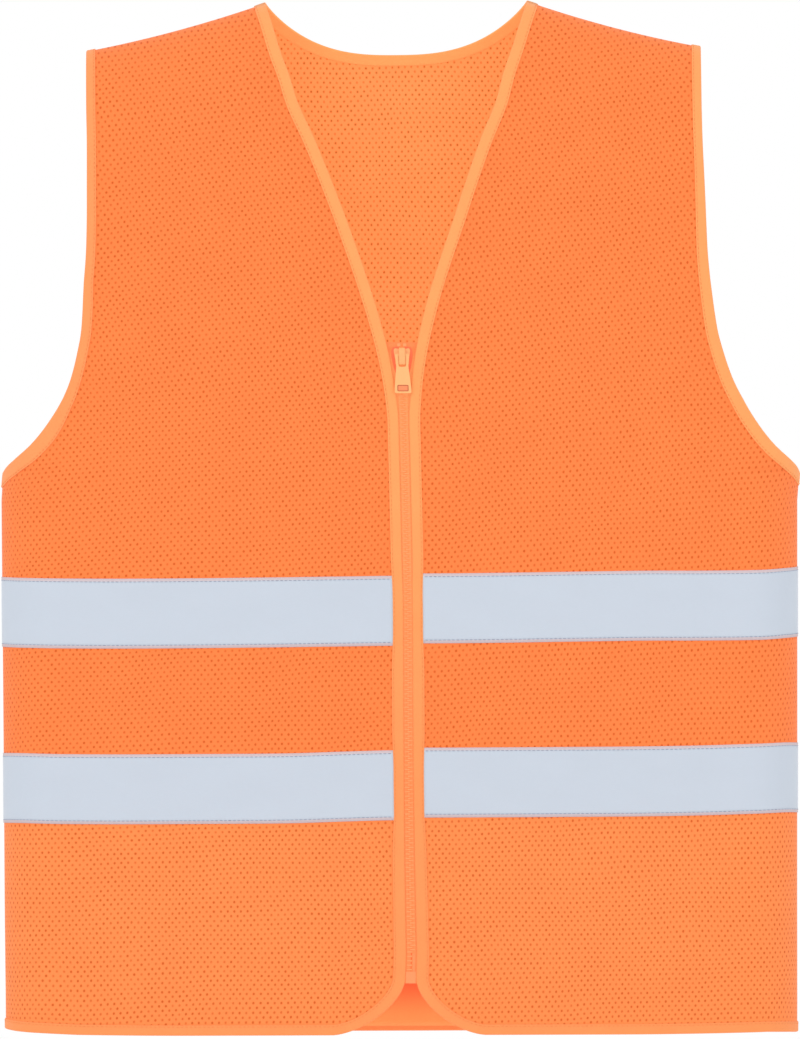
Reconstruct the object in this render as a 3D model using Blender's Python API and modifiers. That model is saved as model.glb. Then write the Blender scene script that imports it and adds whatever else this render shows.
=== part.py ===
"""High visibility vest: mesh panels, folded bindings, reflective tapes and an open-ended zip.

Metres, +Z up. The front faces -Y and the wearer's left is at +X. The origin lies midway between
the two neck points, in the plane of the side seams. Dimensions below are in millimetres.
"""

import math

import bmesh
import bpy
import numpy as np
from mathutils import Matrix

MM = 0.001
NAME = "high_visibility_vest"

# outline of the garment
HALF_CHEST = 286.2
HALF_HEM = 284.6
DEPTH = 40.0
SHOULDER_ROUND = 80.0
NECK_HALF = 95.0
SHOULDER_END = 221.4
SHOULDER_SLOPE = 0.3446
SHOULDER_DISH = 0.000625
BACK_NECK_DROP = 38.5
HEM_FRONT = 742.0
HEM_BACK = 739.2
HEM_SIDE = 739.0
SEAM_GAP = 0.2

# plain facing inside the back hem
FACING = 0.4
FACING_TOP = 672.0
FACING_BOTTOM = 736.5

# the vest hangs a little askew: sideways shift of its middle and of its sides, and rise per
# millimetre out from the middle, each against the height below the neck points
KINK = 685.0
MIDDLE_SHIFT = ((0, -2.6), (KINK, 8.22), (742, 6.72))
SIDE_SHIFT = ((0, -5.6), (75, -5.6), (145, -4.0), (200, -3.3), (285, 2.0), (330, 1.9), (352, 0.0))
TILT = ((0, 0.0075), (80, 0.0075), (260, 0.0), (620, 0.0), (739, 0.003))
MIDDLE_HALF = 100.0

# neck edge of the front panel: height below the neck point, distance from the middle
V_EDGE = ((0, 95.4), (15, 90.3), (34, 84.4), (52, 78.0), (70, 73.8), (149, 43.3), (225, 17.6),
          (258, 9.7), (280, 6.6), (302, 4.95), (703, 4.95))
CORNER_TOP = 703.0
CORNER_WIDTH = 50.0
CORNER_POWER = 1.6

# along the zip the mesh stops short of the binding's fold, so the slider can pass
EDGE_INSET = 1.5
INSET_ROWS = ((271.0, 0.0), (307.0, 1.0), (KINK, 1.0), (703.0, 0.0))

# armhole edge: height below the neck point, distance from the middle
ARMHOLE = ((34, 221.4), (90, 221.4), (130, 222.2), (175, 223.4), (205, 225.8), (235, 228.8),
           (251, 232.3), (271, 238.3), (289, 246.8), (307, 258.3), (319, 268.3), (328, 278.2),
           (334, 284.0), (338, 286.1))
UNDERARM = 338.0

# cloth layers, measured outwards from the inner face of the panels
PANEL = 0.8
LAYER_GAP = 0.4
TAPE = 0.5
TAPE_HEIGHT = 50.3
BINDING = 0.6
BINDING_WIDTH = 7.4
LOOSE_GAP = 0.9

# reflective tapes: tops below the neck point at the right side seam, right front edge,
# left front edge and left side seam of the wearer
UPPER_TAPE = (413.2, 412.8, 410.4, 405.6)
LOWER_TAPE = (540.2, 537.6, 536.2, 532.6)
TAPE_END = 13.0

# fold lines the front flaps open about
FOLD_TOP = (51.0, 126.0)
FOLD_BOTTOM = (238.0, 746.0)
FOLD_SLIT = 0.3

# zip
ZIP_Y = -38.4
ZIP_TOP = 244.5
ZIP_TAPE_INNER = 3.6
ZIP_TAPE_OUTER = 13.0
ZIP_TAPE_THICK = 0.5
TOOTH_PITCH = 3.2
TOOTH_HEIGHT = 1.3
TOOTH_ROOT = 2.3
TOOTH_TIP = 0.7
TOOTH_OUTER = 3.5
BEAD_OUTER = 3.3
BEAD_THICK = 1.4
BEAD_LEAD = 0.2
CHAIN_THICK = 2.4
CHAIN_TOP = 253.4
CHAIN_BOTTOM = 696.5
PIN_TOP = 684.0
BOX_TOP = 697.0
BOX_BOTTOM = 705.6
BOX_HALF = 3.55
STOP_HEIGHTS = (-247.8, -245.2)
SLIDER_Z = 254.3
PIVOT_Z = 253.4
PIVOT_Y = -43.0

# rows of the panels: depth below the neck point and share of the shoulder's slope
ROWS = ((0.0, 1.0), (2.7, 1.0), (10.7, 1.0), (23.4, 1.0), (40.0, 1.0), (59.3, 1.0), (80.0, 1.0),
        (128.0, 0.6), (168.0, 0.3), (205.0, 0.0), (235.0, 0.0), (251.0, 0.0), (271.0, 0.0),
        (289.0, 0.0), (307.0, 0.0), (319.0, 0.0), (328.0, 0.0), (334.0, 0.0), (338.0, 0.0))

ORANGE_MESH = (0.93, 0.24, 0.06, 1.0)
ORANGE_BINDING = (0.95, 0.36, 0.13, 1.0)
ORANGE_PLASTIC = (0.94, 0.33, 0.10, 1.0)
ORANGE_PULL = (0.95, 0.48, 0.20, 1.0)
SILVER = (0.62, 0.68, 0.75, 1.0)


def clear_scene():
    for obj in list(bpy.data.objects):
        bpy.data.objects.remove(obj, do_unlink=True)
    for collection in list(bpy.data.collections):
        bpy.data.collections.remove(collection)


def new_collection(name):
    collection = bpy.data.collections.new(name)
    bpy.context.scene.collection.children.link(collection)
    return collection


def material(name, color, roughness, metallic=0.0):
    mat = bpy.data.materials.new(name)
    mat.use_nodes = True
    shader = mat.node_tree.nodes["Principled BSDF"]
    shader.inputs["Base Color"].default_value = color
    shader.inputs["Roughness"].default_value = roughness
    shader.inputs["Metallic"].default_value = metallic
    mat.diffuse_color = color
    return mat


# ---------------------------------------------------------------- shape of the garment


def ridge(x):
    """Height of the shoulder ridge, carried on across the neck opening."""
    out = abs(x) - NECK_HALF
    if out >= 0:
        return -SHOULDER_SLOPE * out + SHOULDER_DISH * out * out
    return -SHOULDER_SLOPE * out - SHOULDER_SLOPE * out * out / (2 * NECK_HALF)


def half_width(z):
    share = min(max((-z - UNDERARM) / (HEM_SIDE - UNDERARM), 0.0), 1.0)
    return HALF_CHEST + share * (HALF_HEM - HALF_CHEST)


def half_girth(z):
    """Length along the cloth from the middle to the side seam."""
    return half_width(z) - DEPTH + DEPTH * math.pi / 2


def along_cloth(x, z):
    """Distance along the cloth of the point seen x from the middle."""
    flat = half_width(z) - DEPTH
    if x <= flat:
        return x
    return flat + DEPTH * math.asin(min((x - flat) / DEPTH, 1.0))


def against(rows, z):
    """Value at height z of a table against the height below the neck points."""
    heights, values = zip(*rows)
    return float(np.interp(-z, heights, values))


def lean(x, z):
    """Sideways shift of a point."""
    middle = min(max((HALF_CHEST - abs(x)) / (HALF_CHEST - MIDDLE_HALF), 0.0), 1.0)
    return middle * against(MIDDLE_SHIFT, z) + (1.0 - middle) * against(SIDE_SHIFT, z)


def cloth(s, z, face):
    """Point on the inner face of the cloth: s along it from the middle, face -1 front, 1 back."""
    flat = half_width(z) - DEPTH
    turn = max(abs(s) - flat, 0.0) / DEPTH
    x = min(abs(s), flat) + DEPTH * math.sin(min(turn, math.pi / 2))
    y = DEPTH * math.cos(min(turn, math.pi / 2))
    fall = min(max((ridge(x) - z) / SHOULDER_ROUND, 0.0), 1.0)
    y = max(y * math.sqrt(1.0 - (1.0 - fall) ** 2), SEAM_GAP)
    x = math.copysign(x, s)
    return np.array((x + lean(x, z), face * y, z + x * against(TILT, z)))


def normal(s, z, face):
    """Outward unit normal of the cloth."""
    flat = half_width(z) - DEPTH
    turn = min(max(abs(s) - flat, 0.0) / DEPTH, math.pi / 2)
    x = min(abs(s), flat) + DEPTH * math.sin(turn)
    fall = min(max((ridge(x) - z) / SHOULDER_ROUND, 0.0), 1.0)
    up = (1.0 - fall) * DEPTH
    level = math.sqrt(max(1.0 - (1.0 - fall) ** 2, 0.0)) * SHOULDER_ROUND
    tilt = math.atan2(up, level)
    side = math.copysign(math.sin(turn), s)
    return np.array((side * math.cos(tilt), face * math.cos(turn) * math.cos(tilt), math.sin(tilt)))


def layer_point(s, z, face, height):
    return cloth(s, z, face) + height * normal(s, z, face)


def front_edge(depth):
    """Distance from the middle of the front panel's neck, zip and corner edge."""
    if depth <= CORNER_TOP:
        heights, outs = zip(*V_EDGE)
        return float(np.interp(depth, heights, outs))
    fall = min((depth - CORNER_TOP) / (HEM_FRONT - CORNER_TOP), 1.0)
    inside = (1.0 - fall ** CORNER_POWER) ** (1.0 / CORNER_POWER)
    return V_EDGE[-1][1] + CORNER_WIDTH * (1.0 - inside)


def panel_edge(depth):
    """Raw edge of the mesh inside the front binding."""
    heights, shares = zip(*INSET_ROWS)
    return front_edge(depth) + EDGE_INSET * float(np.interp(depth, heights, shares))


def outer_edge(depth):
    """Distance along the cloth from the middle to the armhole or side seam."""
    if depth >= UNDERARM:
        return half_girth(-depth)
    heights, outs = zip(*ARMHOLE)
    return along_cloth(float(np.interp(depth, heights, outs)), -depth)


def back_neck(x):
    share = min(abs(x) / NECK_HALF, 1.0)
    return -BACK_NECK_DROP * (1.0 - share ** 2.7) ** 0.92


def front_hem(s, depth_here):
    """Lower edge of the front panel: level, lifting a little towards the side seam."""
    share = min(max((s - 150.0) / (half_girth(-depth_here) - 150.0), 0.0), 1.0)
    return -(HEM_FRONT + (HEM_SIDE - HEM_FRONT) * share ** 2)


# ---------------------------------------------------------------- building blocks


def add_mesh(name, points, faces, mat, collection, origin=(0.0, 0.0, 0.0)):
    """Object from points in millimetres, with its origin at the given point."""
    base = np.array(origin, float)
    verts = [tuple((np.array(p, float) - base) * MM) for p in points]
    mesh = bpy.data.meshes.new(name)
    mesh.from_pydata(verts, [], [tuple(f) for f in faces])
    mesh.update()
    mesh.materials.append(mat)
    obj = bpy.data.objects.new(name, mesh)
    obj.location = tuple(base * MM)
    collection.objects.link(obj)
    return obj


def closed_body(obj):
    """Turn every face of a closed mesh outwards."""
    work = bmesh.new()
    work.from_mesh(obj.data)
    bmesh.ops.recalc_face_normals(work, faces=work.faces)
    work.to_mesh(obj.data)
    work.free()
    return obj


def solidify(obj, thickness):
    mod = obj.modifiers.new("thickness", "SOLIDIFY")
    mod.thickness = thickness * MM
    mod.offset = 1.0
    mod.use_even_offset = True
    return obj


def split_quad(points, quad):
    """The quad itself if it is flat, or two triangles across its shorter diagonal."""
    a, b, c, d = (np.array(points[i], float) for i in quad)
    if abs(np.dot(np.cross(b - a, d - a), c - a)) < 1e-3:
        return [quad]
    if np.linalg.norm(c - a) < np.linalg.norm(d - b):
        return [(quad[0], quad[1], quad[2]), (quad[0], quad[2], quad[3])]
    return [(quad[0], quad[1], quad[3]), (quad[1], quad[2], quad[3])]


def sheet(name, grid, thickness, mat, collection):
    """Sheet over a grid of points, thickened outwards. The grid is wound so that it faces out."""
    rows, cols = len(grid), len(grid[0])
    points = [p for row in grid for p in row]
    faces = []
    for i in range(rows - 1):
        for j in range(cols - 1):
            a = i * cols + j
            faces += split_quad(points, (a, a + 1, a + cols + 1, a + cols))
    return solidify(add_mesh(name, points, faces, mat, collection), thickness)


def loft(name, rings, mat, collection, closed=False):
    """Tube through rings of points, with capped ends unless it closes on itself."""
    count, size = len(rings), len(rings[0])
    points = [p for ring in rings for p in ring]
    faces = []
    for i in range(count if closed else count - 1):
        here = i * size
        there = ((i + 1) % count) * size
        for j in range(size):
            k = (j + 1) % size
            faces += split_quad(points, (here + j, here + k, there + k, there + j))
    if not closed:
        faces.append(tuple(range(size - 1, -1, -1)))
        faces.append(tuple((count - 1) * size + j for j in range(size)))
    return closed_body(add_mesh(name, points, faces, mat, collection))


def slab(name, outline, y_front, y_back, mat, collection, origin=(0.0, 0.0, 0.0)):
    """Plate between two depths from an outline of (x, z), anticlockwise seen from the front."""
    n = len(outline)
    points = [lean_point(x, y_front, z) for x, z in outline]
    points += [lean_point(x, y_back, z) for x, z in outline]
    faces = [tuple(range(n)), tuple(range(2 * n - 1, n - 1, -1))]
    faces += [(i, i + n, (i + 1) % n + n, (i + 1) % n) for i in range(n)]
    return closed_body(add_mesh(name, points, faces, mat, collection, origin))


def block(name, x, y, z, mat, collection, origin=(0.0, 0.0, 0.0)):
    outline = ((x[0], z[0]), (x[1], z[0]), (x[1], z[1]), (x[0], z[1]))
    return slab(name, outline, y[0], y[1], mat, collection, origin)


def lean_point(x, y, z):
    return (x + lean(x, z), y, z)


def boolean(obj, cutter, operation):
    mod = obj.modifiers.new(operation.lower(), "BOOLEAN")
    mod.operation = operation
    mod.object = cutter
    mod.solver = "EXACT"


def hide(obj):
    obj.hide_render = True
    obj.display_type = "WIRE"
    return obj


# ---------------------------------------------------------------- panels


FLAT_SHARE = (half_width(-500.0) - DEPTH) / half_girth(-500.0)
TURNING = [FLAT_SHARE + (1.0 - FLAT_SHARE) * k / 6 for k in range(7)]
FRONT_COLUMNS = [0.0, 0.27, 0.54] + TURNING


def spread(inner, outer):
    """Columns of a front row: even up to the turn, and fixed round the side."""
    flat = FLAT_SHARE * outer
    row = [inner + (flat - inner) * u / FLAT_SHARE for u in FRONT_COLUMNS if u < FLAT_SHARE]
    return row + [u * outer for u in TURNING]


def front_depths():
    """Rows of the front panel: those of the yoke and armhole, the zip and the rounded corner."""
    lower = [352.0, 420.0, 620.0, KINK, 703.0, 711.0, 721.0, 730.0, 737.0]
    return list(ROWS) + [(d, 0.0) for d in lower]


def hem_line():
    row = spread(front_edge(HEM_FRONT), half_girth(-HEM_SIDE))
    return [(s, front_hem(s, HEM_SIDE)) for s in row]


def front_grid(side, height):
    """Grid over a front panel, wound outwards for that side."""
    grid = []
    tops = spread(NECK_HALF + 0.4, SHOULDER_END)
    for depth, slope in front_depths():
        outer = outer_edge(depth - slope * ridge(SHOULDER_END))
        row = spread(panel_edge(depth), outer)
        grid.append([(s, -depth + slope * ridge(top)) for s, top in zip(row, tops)])
    grid.append(hem_line())
    grid = [[layer_point(side * s, z, -1, height) for s, z in row] for row in grid]
    if side < 0:
        grid = [row[::-1] for row in grid]
    return [row[::-1] for row in grid]


def back_columns():
    neck = [x / SHOULDER_END for x in (0.0, 32.0, 58.0, 78.0, 90.0, 93.6, NECK_HALF)]
    return neck + [0.62] + TURNING


def back_rows():
    return list(ROWS) + [(d, 0.0) for d in (352.0, 540.0, 620.0, KINK)]


def back_half(side):
    """Rows of (s, z) from the middle of the back to the armhole and side seam."""
    columns = back_columns()
    tops = []
    for u in columns:
        x = u * SHOULDER_END
        tops.append(back_neck(x) if x < NECK_HALF - 1e-6 else ridge(x))
    rows = []
    for depth, slope in back_rows():
        outer = outer_edge(depth - slope * ridge(SHOULDER_END))
        rows.append([(side * u * outer, -depth + slope * top) for u, top in zip(columns, tops)])
    outer = half_girth(-HEM_SIDE)
    rows.append([(side * u * outer, -HEM_BACK) for u in columns])
    return rows


def back_grid(height):
    right, left = back_half(-1.0), back_half(1.0)
    rows = [r[::-1] + l[1:] for r, l in zip(right, left)]
    return [[layer_point(s, z, 1, height) for s, z in row] for row in rows]


# ---------------------------------------------------------------- bindings


def binding_ring(s, z, face, across, gap=LAYER_GAP):
    """Folded binding's section at an edge point; across points into the cloth along it."""
    low = -gap
    high = PANEL + gap
    width = BINDING_WIDTH
    lip = LAYER_GAP
    section = ((width, high + BINDING), (-lip - BINDING * 0.4, high + BINDING),
               (-lip - BINDING, high + BINDING * 0.3), (-lip - BINDING, low - BINDING * 0.3),
               (-lip - BINDING * 0.4, low - BINDING), (width, low - BINDING),
               (width, low), (-lip, low), (-lip, high), (width, high))
    return [layer_point(s + a * across[0], z + a * across[1], face, b) for a, b in section]


def turned(path, i, closed_ends=(None, None)):
    """Unit vector across a path of (s, z), to the left of its direction of travel."""
    if i == 0 and closed_ends[0] is not None:
        return closed_ends[0]
    if i == len(path) - 1 and closed_ends[1] is not None:
        return closed_ends[1]
    before = path[max(i - 1, 0)]
    after = path[min(i + 1, len(path) - 1)]
    ds, dz = after[0] - before[0], after[1] - before[1]
    size = math.hypot(ds, dz)
    return (-dz / size, ds / size)


def rings_along(path, side, face, ends=(None, None)):
    rings = []
    for i, (s, z) in enumerate(path):
        across = turned(path, i, ends)
        rings.append(binding_ring(side * s, z, face, (side * across[0], across[1])))
    return rings


def shoulder_across(out):
    size = math.hypot(1.0, SHOULDER_SLOPE)
    return (out / size, -out * SHOULDER_SLOPE / size)


def neck_path():
    return [(front_edge(d), -d) for d, _ in front_depths() if d <= 235.0]


def front_binding_path():
    """Front edge from below the neck to the hem, and along the hem to the side seam."""
    return [(front_edge(d), -d) for d, _ in front_depths() if d > 75.0] + hem_line()


def make_neck_binding(mat, collection):
    """One strip from the left fold, round the back of the neck, to the right fold."""
    across = shoulder_across(1.0)
    front = neck_path()
    columns = [u * SHOULDER_END for u in back_columns() if u * SHOULDER_END < NECK_HALF - 1]
    back = [(x, back_neck(x)) for x in columns[::-1]]
    right = rings_along(front, -1.0, -1, (across, None))[::-1]
    left = rings_along(front, 1.0, -1, (across, None))
    over = [(NECK_HALF + 0.4, ridge(NECK_HALF + 0.4))] + back + [(-s, z) for s, z in back[-2::-1]]
    over = over + [(-NECK_HALF - 0.4, ridge(NECK_HALF + 0.4))]
    mirrored = (-across[0], across[1])
    ways = [turned(over, i) for i in range(len(over))]
    ways[:2], ways[-2:] = [across] * 2, [mirrored] * 2
    middle = [binding_ring(s, z, 1, way, LOOSE_GAP) for (s, z), way in zip(over, ways)]
    rings = right + middle[::-1] + left
    return loft("neck_binding", rings, mat, collection)


def armhole_path():
    """Edge of the armhole from the shoulder to the underarm."""
    drop = ridge(SHOULDER_END)
    path = []
    for depth, slope in ROWS:
        down = depth - slope * drop
        path.append((outer_edge(down), -down))
    return path


def armhole_rings(path, side, face):
    rings = []
    rise = SHOULDER_SLOPE - 2 * SHOULDER_DISH * (SHOULDER_END - NECK_HALF)
    for i, (s, z) in enumerate(path):
        slope = ROWS[i][1] * rise
        size = math.hypot(1.0, slope)
        along_row = (-1.0 / size, slope / size)
        if z > -200.0:
            across = along_row
        else:
            ds, dz = turned(path, i, (None, (0.0, 1.0)))
            across = (-ds, -dz)
        gap = LAYER_GAP if z > -280.0 else LOOSE_GAP
        rings.append(binding_ring(side * s, z, face, (side * across[0], across[1]), gap))
    return rings


def make_armhole_binding(name, side, mat, collection):
    path = armhole_path()
    front = armhole_rings(path, side, -1)
    back = armhole_rings(path, side, 1)
    rings = front + back[::-1]
    return loft(name, rings, mat, collection, closed=True)


def make_front_binding(name, side, path, mat, collection):
    rings = rings_along(path, side, -1, (None, (0.0, 1.0)))
    return loft(name, rings, mat, collection)


def make_back_hem(mat, collection):
    outer = half_girth(-HEM_SIDE)
    half = [u * outer for u in back_columns()]
    line = [-s for s in half[::-1]] + half[1:]
    rings = [binding_ring(s, -HEM_BACK, 1, (0.0, 1.0)) for s in line]
    return loft("hem_binding_back", rings[::-1], mat, collection)


def make_facing(mat, collection):
    """Plain strip inside the back hem, over the inner leg of its binding."""
    height = -LAYER_GAP - BINDING - 0.3 - FACING
    outer = half_girth(-HEM_SIDE)
    half = [u * outer for u in back_columns()][:-1]
    line = [-s for s in half[::-1]] + half[1:]
    grid = [[layer_point(s, -depth, 1, height) for s in line]
            for depth in (FACING_TOP, KINK, FACING_BOTTOM)]
    return sheet("hem_facing_back", grid, FACING, mat, collection)


# ---------------------------------------------------------------- tapes


def tape_grid(s_values, tops, face):
    """Two rows along the cloth: the tape's top and bottom edges."""
    height = PANEL + LAYER_GAP
    upper = [layer_point(s, -t, face, height) for s, t in zip(s_values, tops)]
    lower = [layer_point(s, -t - TAPE_HEIGHT, face, height) for s, t in zip(s_values, tops)]
    return [upper, lower]


def make_front_tape(name, side, inner_top, outer_top, mat, collection):
    edge = half_girth(-outer_top) - 0.02
    columns = spread(TAPE_END, edge)
    tops = [inner_top + (outer_top - inner_top) * (s / edge) ** 2 for s in columns]
    grid = tape_grid([side * s for s in columns], tops, -1)
    if side > 0:
        grid = [row[::-1] for row in grid]
    return sheet(name, grid, TAPE, mat, collection)


def make_back_tape(name, right_top, left_top, mat, collection):
    edge = half_girth(-left_top) - 0.02
    half = [u * edge for u in back_columns()]
    line = [-s for s in half[::-1]] + half[1:]
    tops = [right_top + (left_top - right_top) * (s + edge) / (2 * edge) for s in line]
    return sheet(name, tape_grid(line, tops, 1), TAPE, mat, collection)


# ---------------------------------------------------------------- folds


def fold_ends(side):
    """Ends of a fold line, in the plane the front flaps turn about."""
    y = -(DEPTH + PANEL + LAYER_GAP + BINDING)
    ends = []
    for out, depth in (FOLD_TOP, FOLD_BOTTOM):
        ends.append(np.array(lean_point(side * out, y, -depth)))
    return ends


def fold_cutter(name, side, shift, mat, collection):
    """Box over the flap's side of a fold line, its edge moved outwards by shift."""
    top, bottom = fold_ends(side)
    run = (bottom - top) / np.linalg.norm(bottom - top)
    out = np.array((-run[2], 0.0, run[0])) * side
    reach = 420.0
    corners = []
    for y in (-70.0, -10.0):
        for along, away in ((-30.0, shift), (-30.0, -reach), (800.0, -reach), (800.0, shift)):
            p = top + run * along + out * away
            corners.append((p[0], y, p[2]))
    faces = [(0, 1, 2, 3), (7, 6, 5, 4), (0, 4, 5, 1), (1, 5, 6, 2), (2, 6, 7, 3), (3, 7, 4, 0)]
    return hide(closed_body(add_mesh(name, corners, faces, mat, collection)))


def make_front(side, mats, parts, cutters):
    """Front half of one side: every piece that the fold line crosses, on both sides of it."""
    word = "left" if side > 0 else "right"
    keep = fold_cutter(f"cut_outer_{word}", side, FOLD_SLIT, mats["mesh"], cutters)
    flap = fold_cutter(f"cut_flap_{word}", side, -FOLD_SLIT, mats["mesh"], cutters)
    upper = UPPER_TAPE[2:] if side > 0 else UPPER_TAPE[1::-1]
    lower = LOWER_TAPE[2:] if side > 0 else LOWER_TAPE[1::-1]
    for half, cutter, operation in (("side", keep, "DIFFERENCE"), ("flap", flap, "INTERSECT")):
        panel = sheet(f"front_panel_{word}_{half}", front_grid(side, 0.0), PANEL,
                      mats["mesh"], parts)
        boolean(panel, cutter, operation)
        for level, tops in (("upper", upper), ("lower", lower)):
            tape = make_front_tape(f"{level}_tape_{word}_{half}", side, tops[0], tops[1],
                                   mats["tape"], parts)
            boolean(tape, cutter, operation)
    path = front_binding_path()
    edge = make_front_binding(f"front_binding_{word}", side, path, mats["binding"], parts)
    boolean(edge, flap, "INTERSECT")
    hem = make_front_binding(f"hem_binding_{word}", side, path[-8:], mats["binding"], parts)
    boolean(hem, keep, "DIFFERENCE")
    return keep


# ---------------------------------------------------------------- zip


def make_teeth(name, side, bottom, phase, mat, collection):
    """One row of moulded teeth clamped round their bead, built ring by ring down the row."""
    bead = (TOOTH_ROOT, BEAD_OUTER, BEAD_THICK / 2)
    tooth = (-TOOTH_TIP, TOOTH_OUTER, CHAIN_THICK / 2)
    points, faces = [], []

    def ring(depth, size):
        """Add the four corners round the row at one depth; returns the first one's index."""
        inner, outer, half = size
        for x, y in ((inner, -half), (outer, -half), (outer, half), (inner, half)):
            points.append(lean_point(side * x, ZIP_Y + y, -depth))
        return len(points) - 4

    def join(one, other):
        for i, k in ((0, 1), (1, 2), (2, 3), (3, 0)):
            faces.append((one + i, one + k, other + k, other + i))
        return other

    def run(last, upper, lower, size):
        """Carry one cross-section from one depth to another."""
        if upper < KINK < lower:
            last = join(last, ring(KINK, size))
        return join(last, ring(lower, size))

    last = ring(CHAIN_TOP, bead)
    faces.append((last, last + 1, last + 2, last + 3))
    level = CHAIN_TOP
    start = CHAIN_TOP + BEAD_LEAD + phase
    while start + TOOTH_HEIGHT < bottom:
        last = run(last, level, start, bead)
        level = start + TOOTH_HEIGHT
        last = run(join(last, ring(start, tooth)), start, level, tooth)
        last = join(last, ring(level, bead))
        start += TOOTH_PITCH
    last = run(last, level, bottom, bead)
    faces.append((last + 3, last + 2, last + 1, last))
    return closed_body(add_mesh(name, points, faces, mat, collection))


def make_zip_tape(name, side, notch, mat, collection):
    grid = []
    for depth in (ZIP_TOP, KINK, BOX_BOTTOM):
        row = [lean_point(side * x, ZIP_Y + ZIP_TAPE_THICK / 2, -depth)
               for x in (ZIP_TAPE_INNER, ZIP_TAPE_OUTER)]
        grid.append(row if side < 0 else row[::-1])
    tape = sheet(name, grid, ZIP_TAPE_THICK, mat, collection)
    boolean(tape, notch, "DIFFERENCE")
    return tape


def make_top_stop(name, side, mat, collection):
    x = sorted((side * 1.1, side * BEAD_OUTER))
    return block(name, x, (ZIP_Y - 1.2, ZIP_Y + 1.2), STOP_HEIGHTS, mat, collection)


def make_retainer(mats, parts, cutters):
    """Box on the wearer's right tape and the pin on the left tape that stands in it."""
    box = block("zip_box", (-BOX_HALF, BOX_HALF), (ZIP_Y - 2.0, ZIP_Y + 2.0),
                (-BOX_BOTTOM, -BOX_TOP), mats["zip"], parts)
    bore = hide(block("cut_box_bore", (0.9, 3.1), (ZIP_Y - 1.1, ZIP_Y + 1.1),
                      (-BOX_BOTTOM + 1.0, -BOX_TOP + 1.0), mats["zip"], cutters))
    boolean(box, bore, "DIFFERENCE")
    block("zip_pin", (1.2, 2.8), (ZIP_Y - 0.8, ZIP_Y + 0.8), (-704.3, -PIN_TOP - 0.3),
          mats["zip"], parts)


def slider_outline():
    """Outline of the slider's plates: narrow at the chain, with two lobes at the top."""
    half = ((4.0, -6.2), (4.8, -5.4), (4.9, -1.4), (5.9, 2.6), (5.7, 4.8), (4.3, 6.2))
    right = [(x, z - SLIDER_Z) for x, z in half]
    return right + [(-x, z) for x, z in right[::-1]]


def make_slider(mats, parts, cutters):
    """Slider body: two plates on a wedge, with flanges that hold the chain."""
    z = -SLIDER_Z
    origin = lean_point(0.0, ZIP_Y, z)
    body = slab("zip_slider", slider_outline(), ZIP_Y - 2.6, ZIP_Y - 1.6, mats["zip"], parts,
                origin)
    pieces = [slab("cut_slider_back", slider_outline(), ZIP_Y + 1.6, ZIP_Y + 2.6, mats["zip"],
                   cutters)]
    pieces.append(block("cut_slider_wedge", (-0.9, 0.9), (ZIP_Y - 1.8, ZIP_Y + 1.8),
                        (z + 1.6, z + 5.6), mats["zip"], cutters))
    for side in (-1.0, 1.0):
        x = sorted((side * 4.0, side * 4.8))
        for face in (-1.0, 1.0):
            y = sorted((ZIP_Y + face * 0.75, ZIP_Y + face * 1.8))
            word = ("left" if side > 0 else "right") + ("_front" if face < 0 else "_back")
            pieces.append(block(f"cut_slider_{word}", x, y, (z - 5.0, z + 3.0), mats["zip"],
                                cutters))
    for piece in pieces:
        hide(piece)
        boolean(body, piece, "UNION")


def make_bridge(mats, parts):
    """Arch on the slider's front that the pull's bar hangs in."""
    front = ZIP_Y - 2.6 - LAYER_GAP
    profile = ((front, -248.2), (front, -249.8), (-44.15, -249.8), (-44.15, -258.9),
               (front, -258.9), (front, -260.9), (-43.6, -260.9), (-45.1, -259.6),
               (-45.1, -249.4), (-44.3, -248.2))
    rings = [[lean_point(x, y, z) for y, z in profile] for x in (2.25, -2.25)]
    origin = lean_point(0.0, ZIP_Y, -SLIDER_Z)
    bridge = loft("slider_bridge", rings, mats["zip"], parts)
    bridge.data.transform(shift_matrix(origin))
    bridge.location = tuple(np.array(origin) * MM)


def shift_matrix(origin):
    return Matrix.Translation([-v * MM for v in origin])


def make_pull(mats, parts, cutters):
    """Pull tab on its cross bar, with a slot round the bridge and a shallow panel at its end."""
    half = ((0.0, -281.0), (5.4, -281.0), (6.2, -279.9), (6.1, -275.0), (4.9, -267.5),
            (4.4, -262.5), (5.2, -254.2), (4.6, -252.6), (0.0, -252.6))
    right = [(-x, z) for x, z in half[-2:0:-1]]
    outline = list(half[1:-1]) + right
    origin = lean_point(0.0, PIVOT_Y, -PIVOT_Z)
    pull = slab("zip_pull", outline, PIVOT_Y - 0.7, PIVOT_Y + 0.7, mats["pull"], parts, origin)
    slot = hide(block("cut_pull_slot", (-2.65, 2.65), (PIVOT_Y - 2.0, PIVOT_Y + 2.0),
                      (-262.0, -PIVOT_Z - 0.7), mats["pull"], cutters))
    panel = hide(block("cut_pull_panel", (-4.0, 4.0), (PIVOT_Y - 2.0, PIVOT_Y + 0.1),
                       (-279.6, -275.0), mats["pull"], cutters))
    boolean(pull, slot, "DIFFERENCE")
    boolean(pull, panel, "DIFFERENCE")


# ---------------------------------------------------------------- vest


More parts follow.
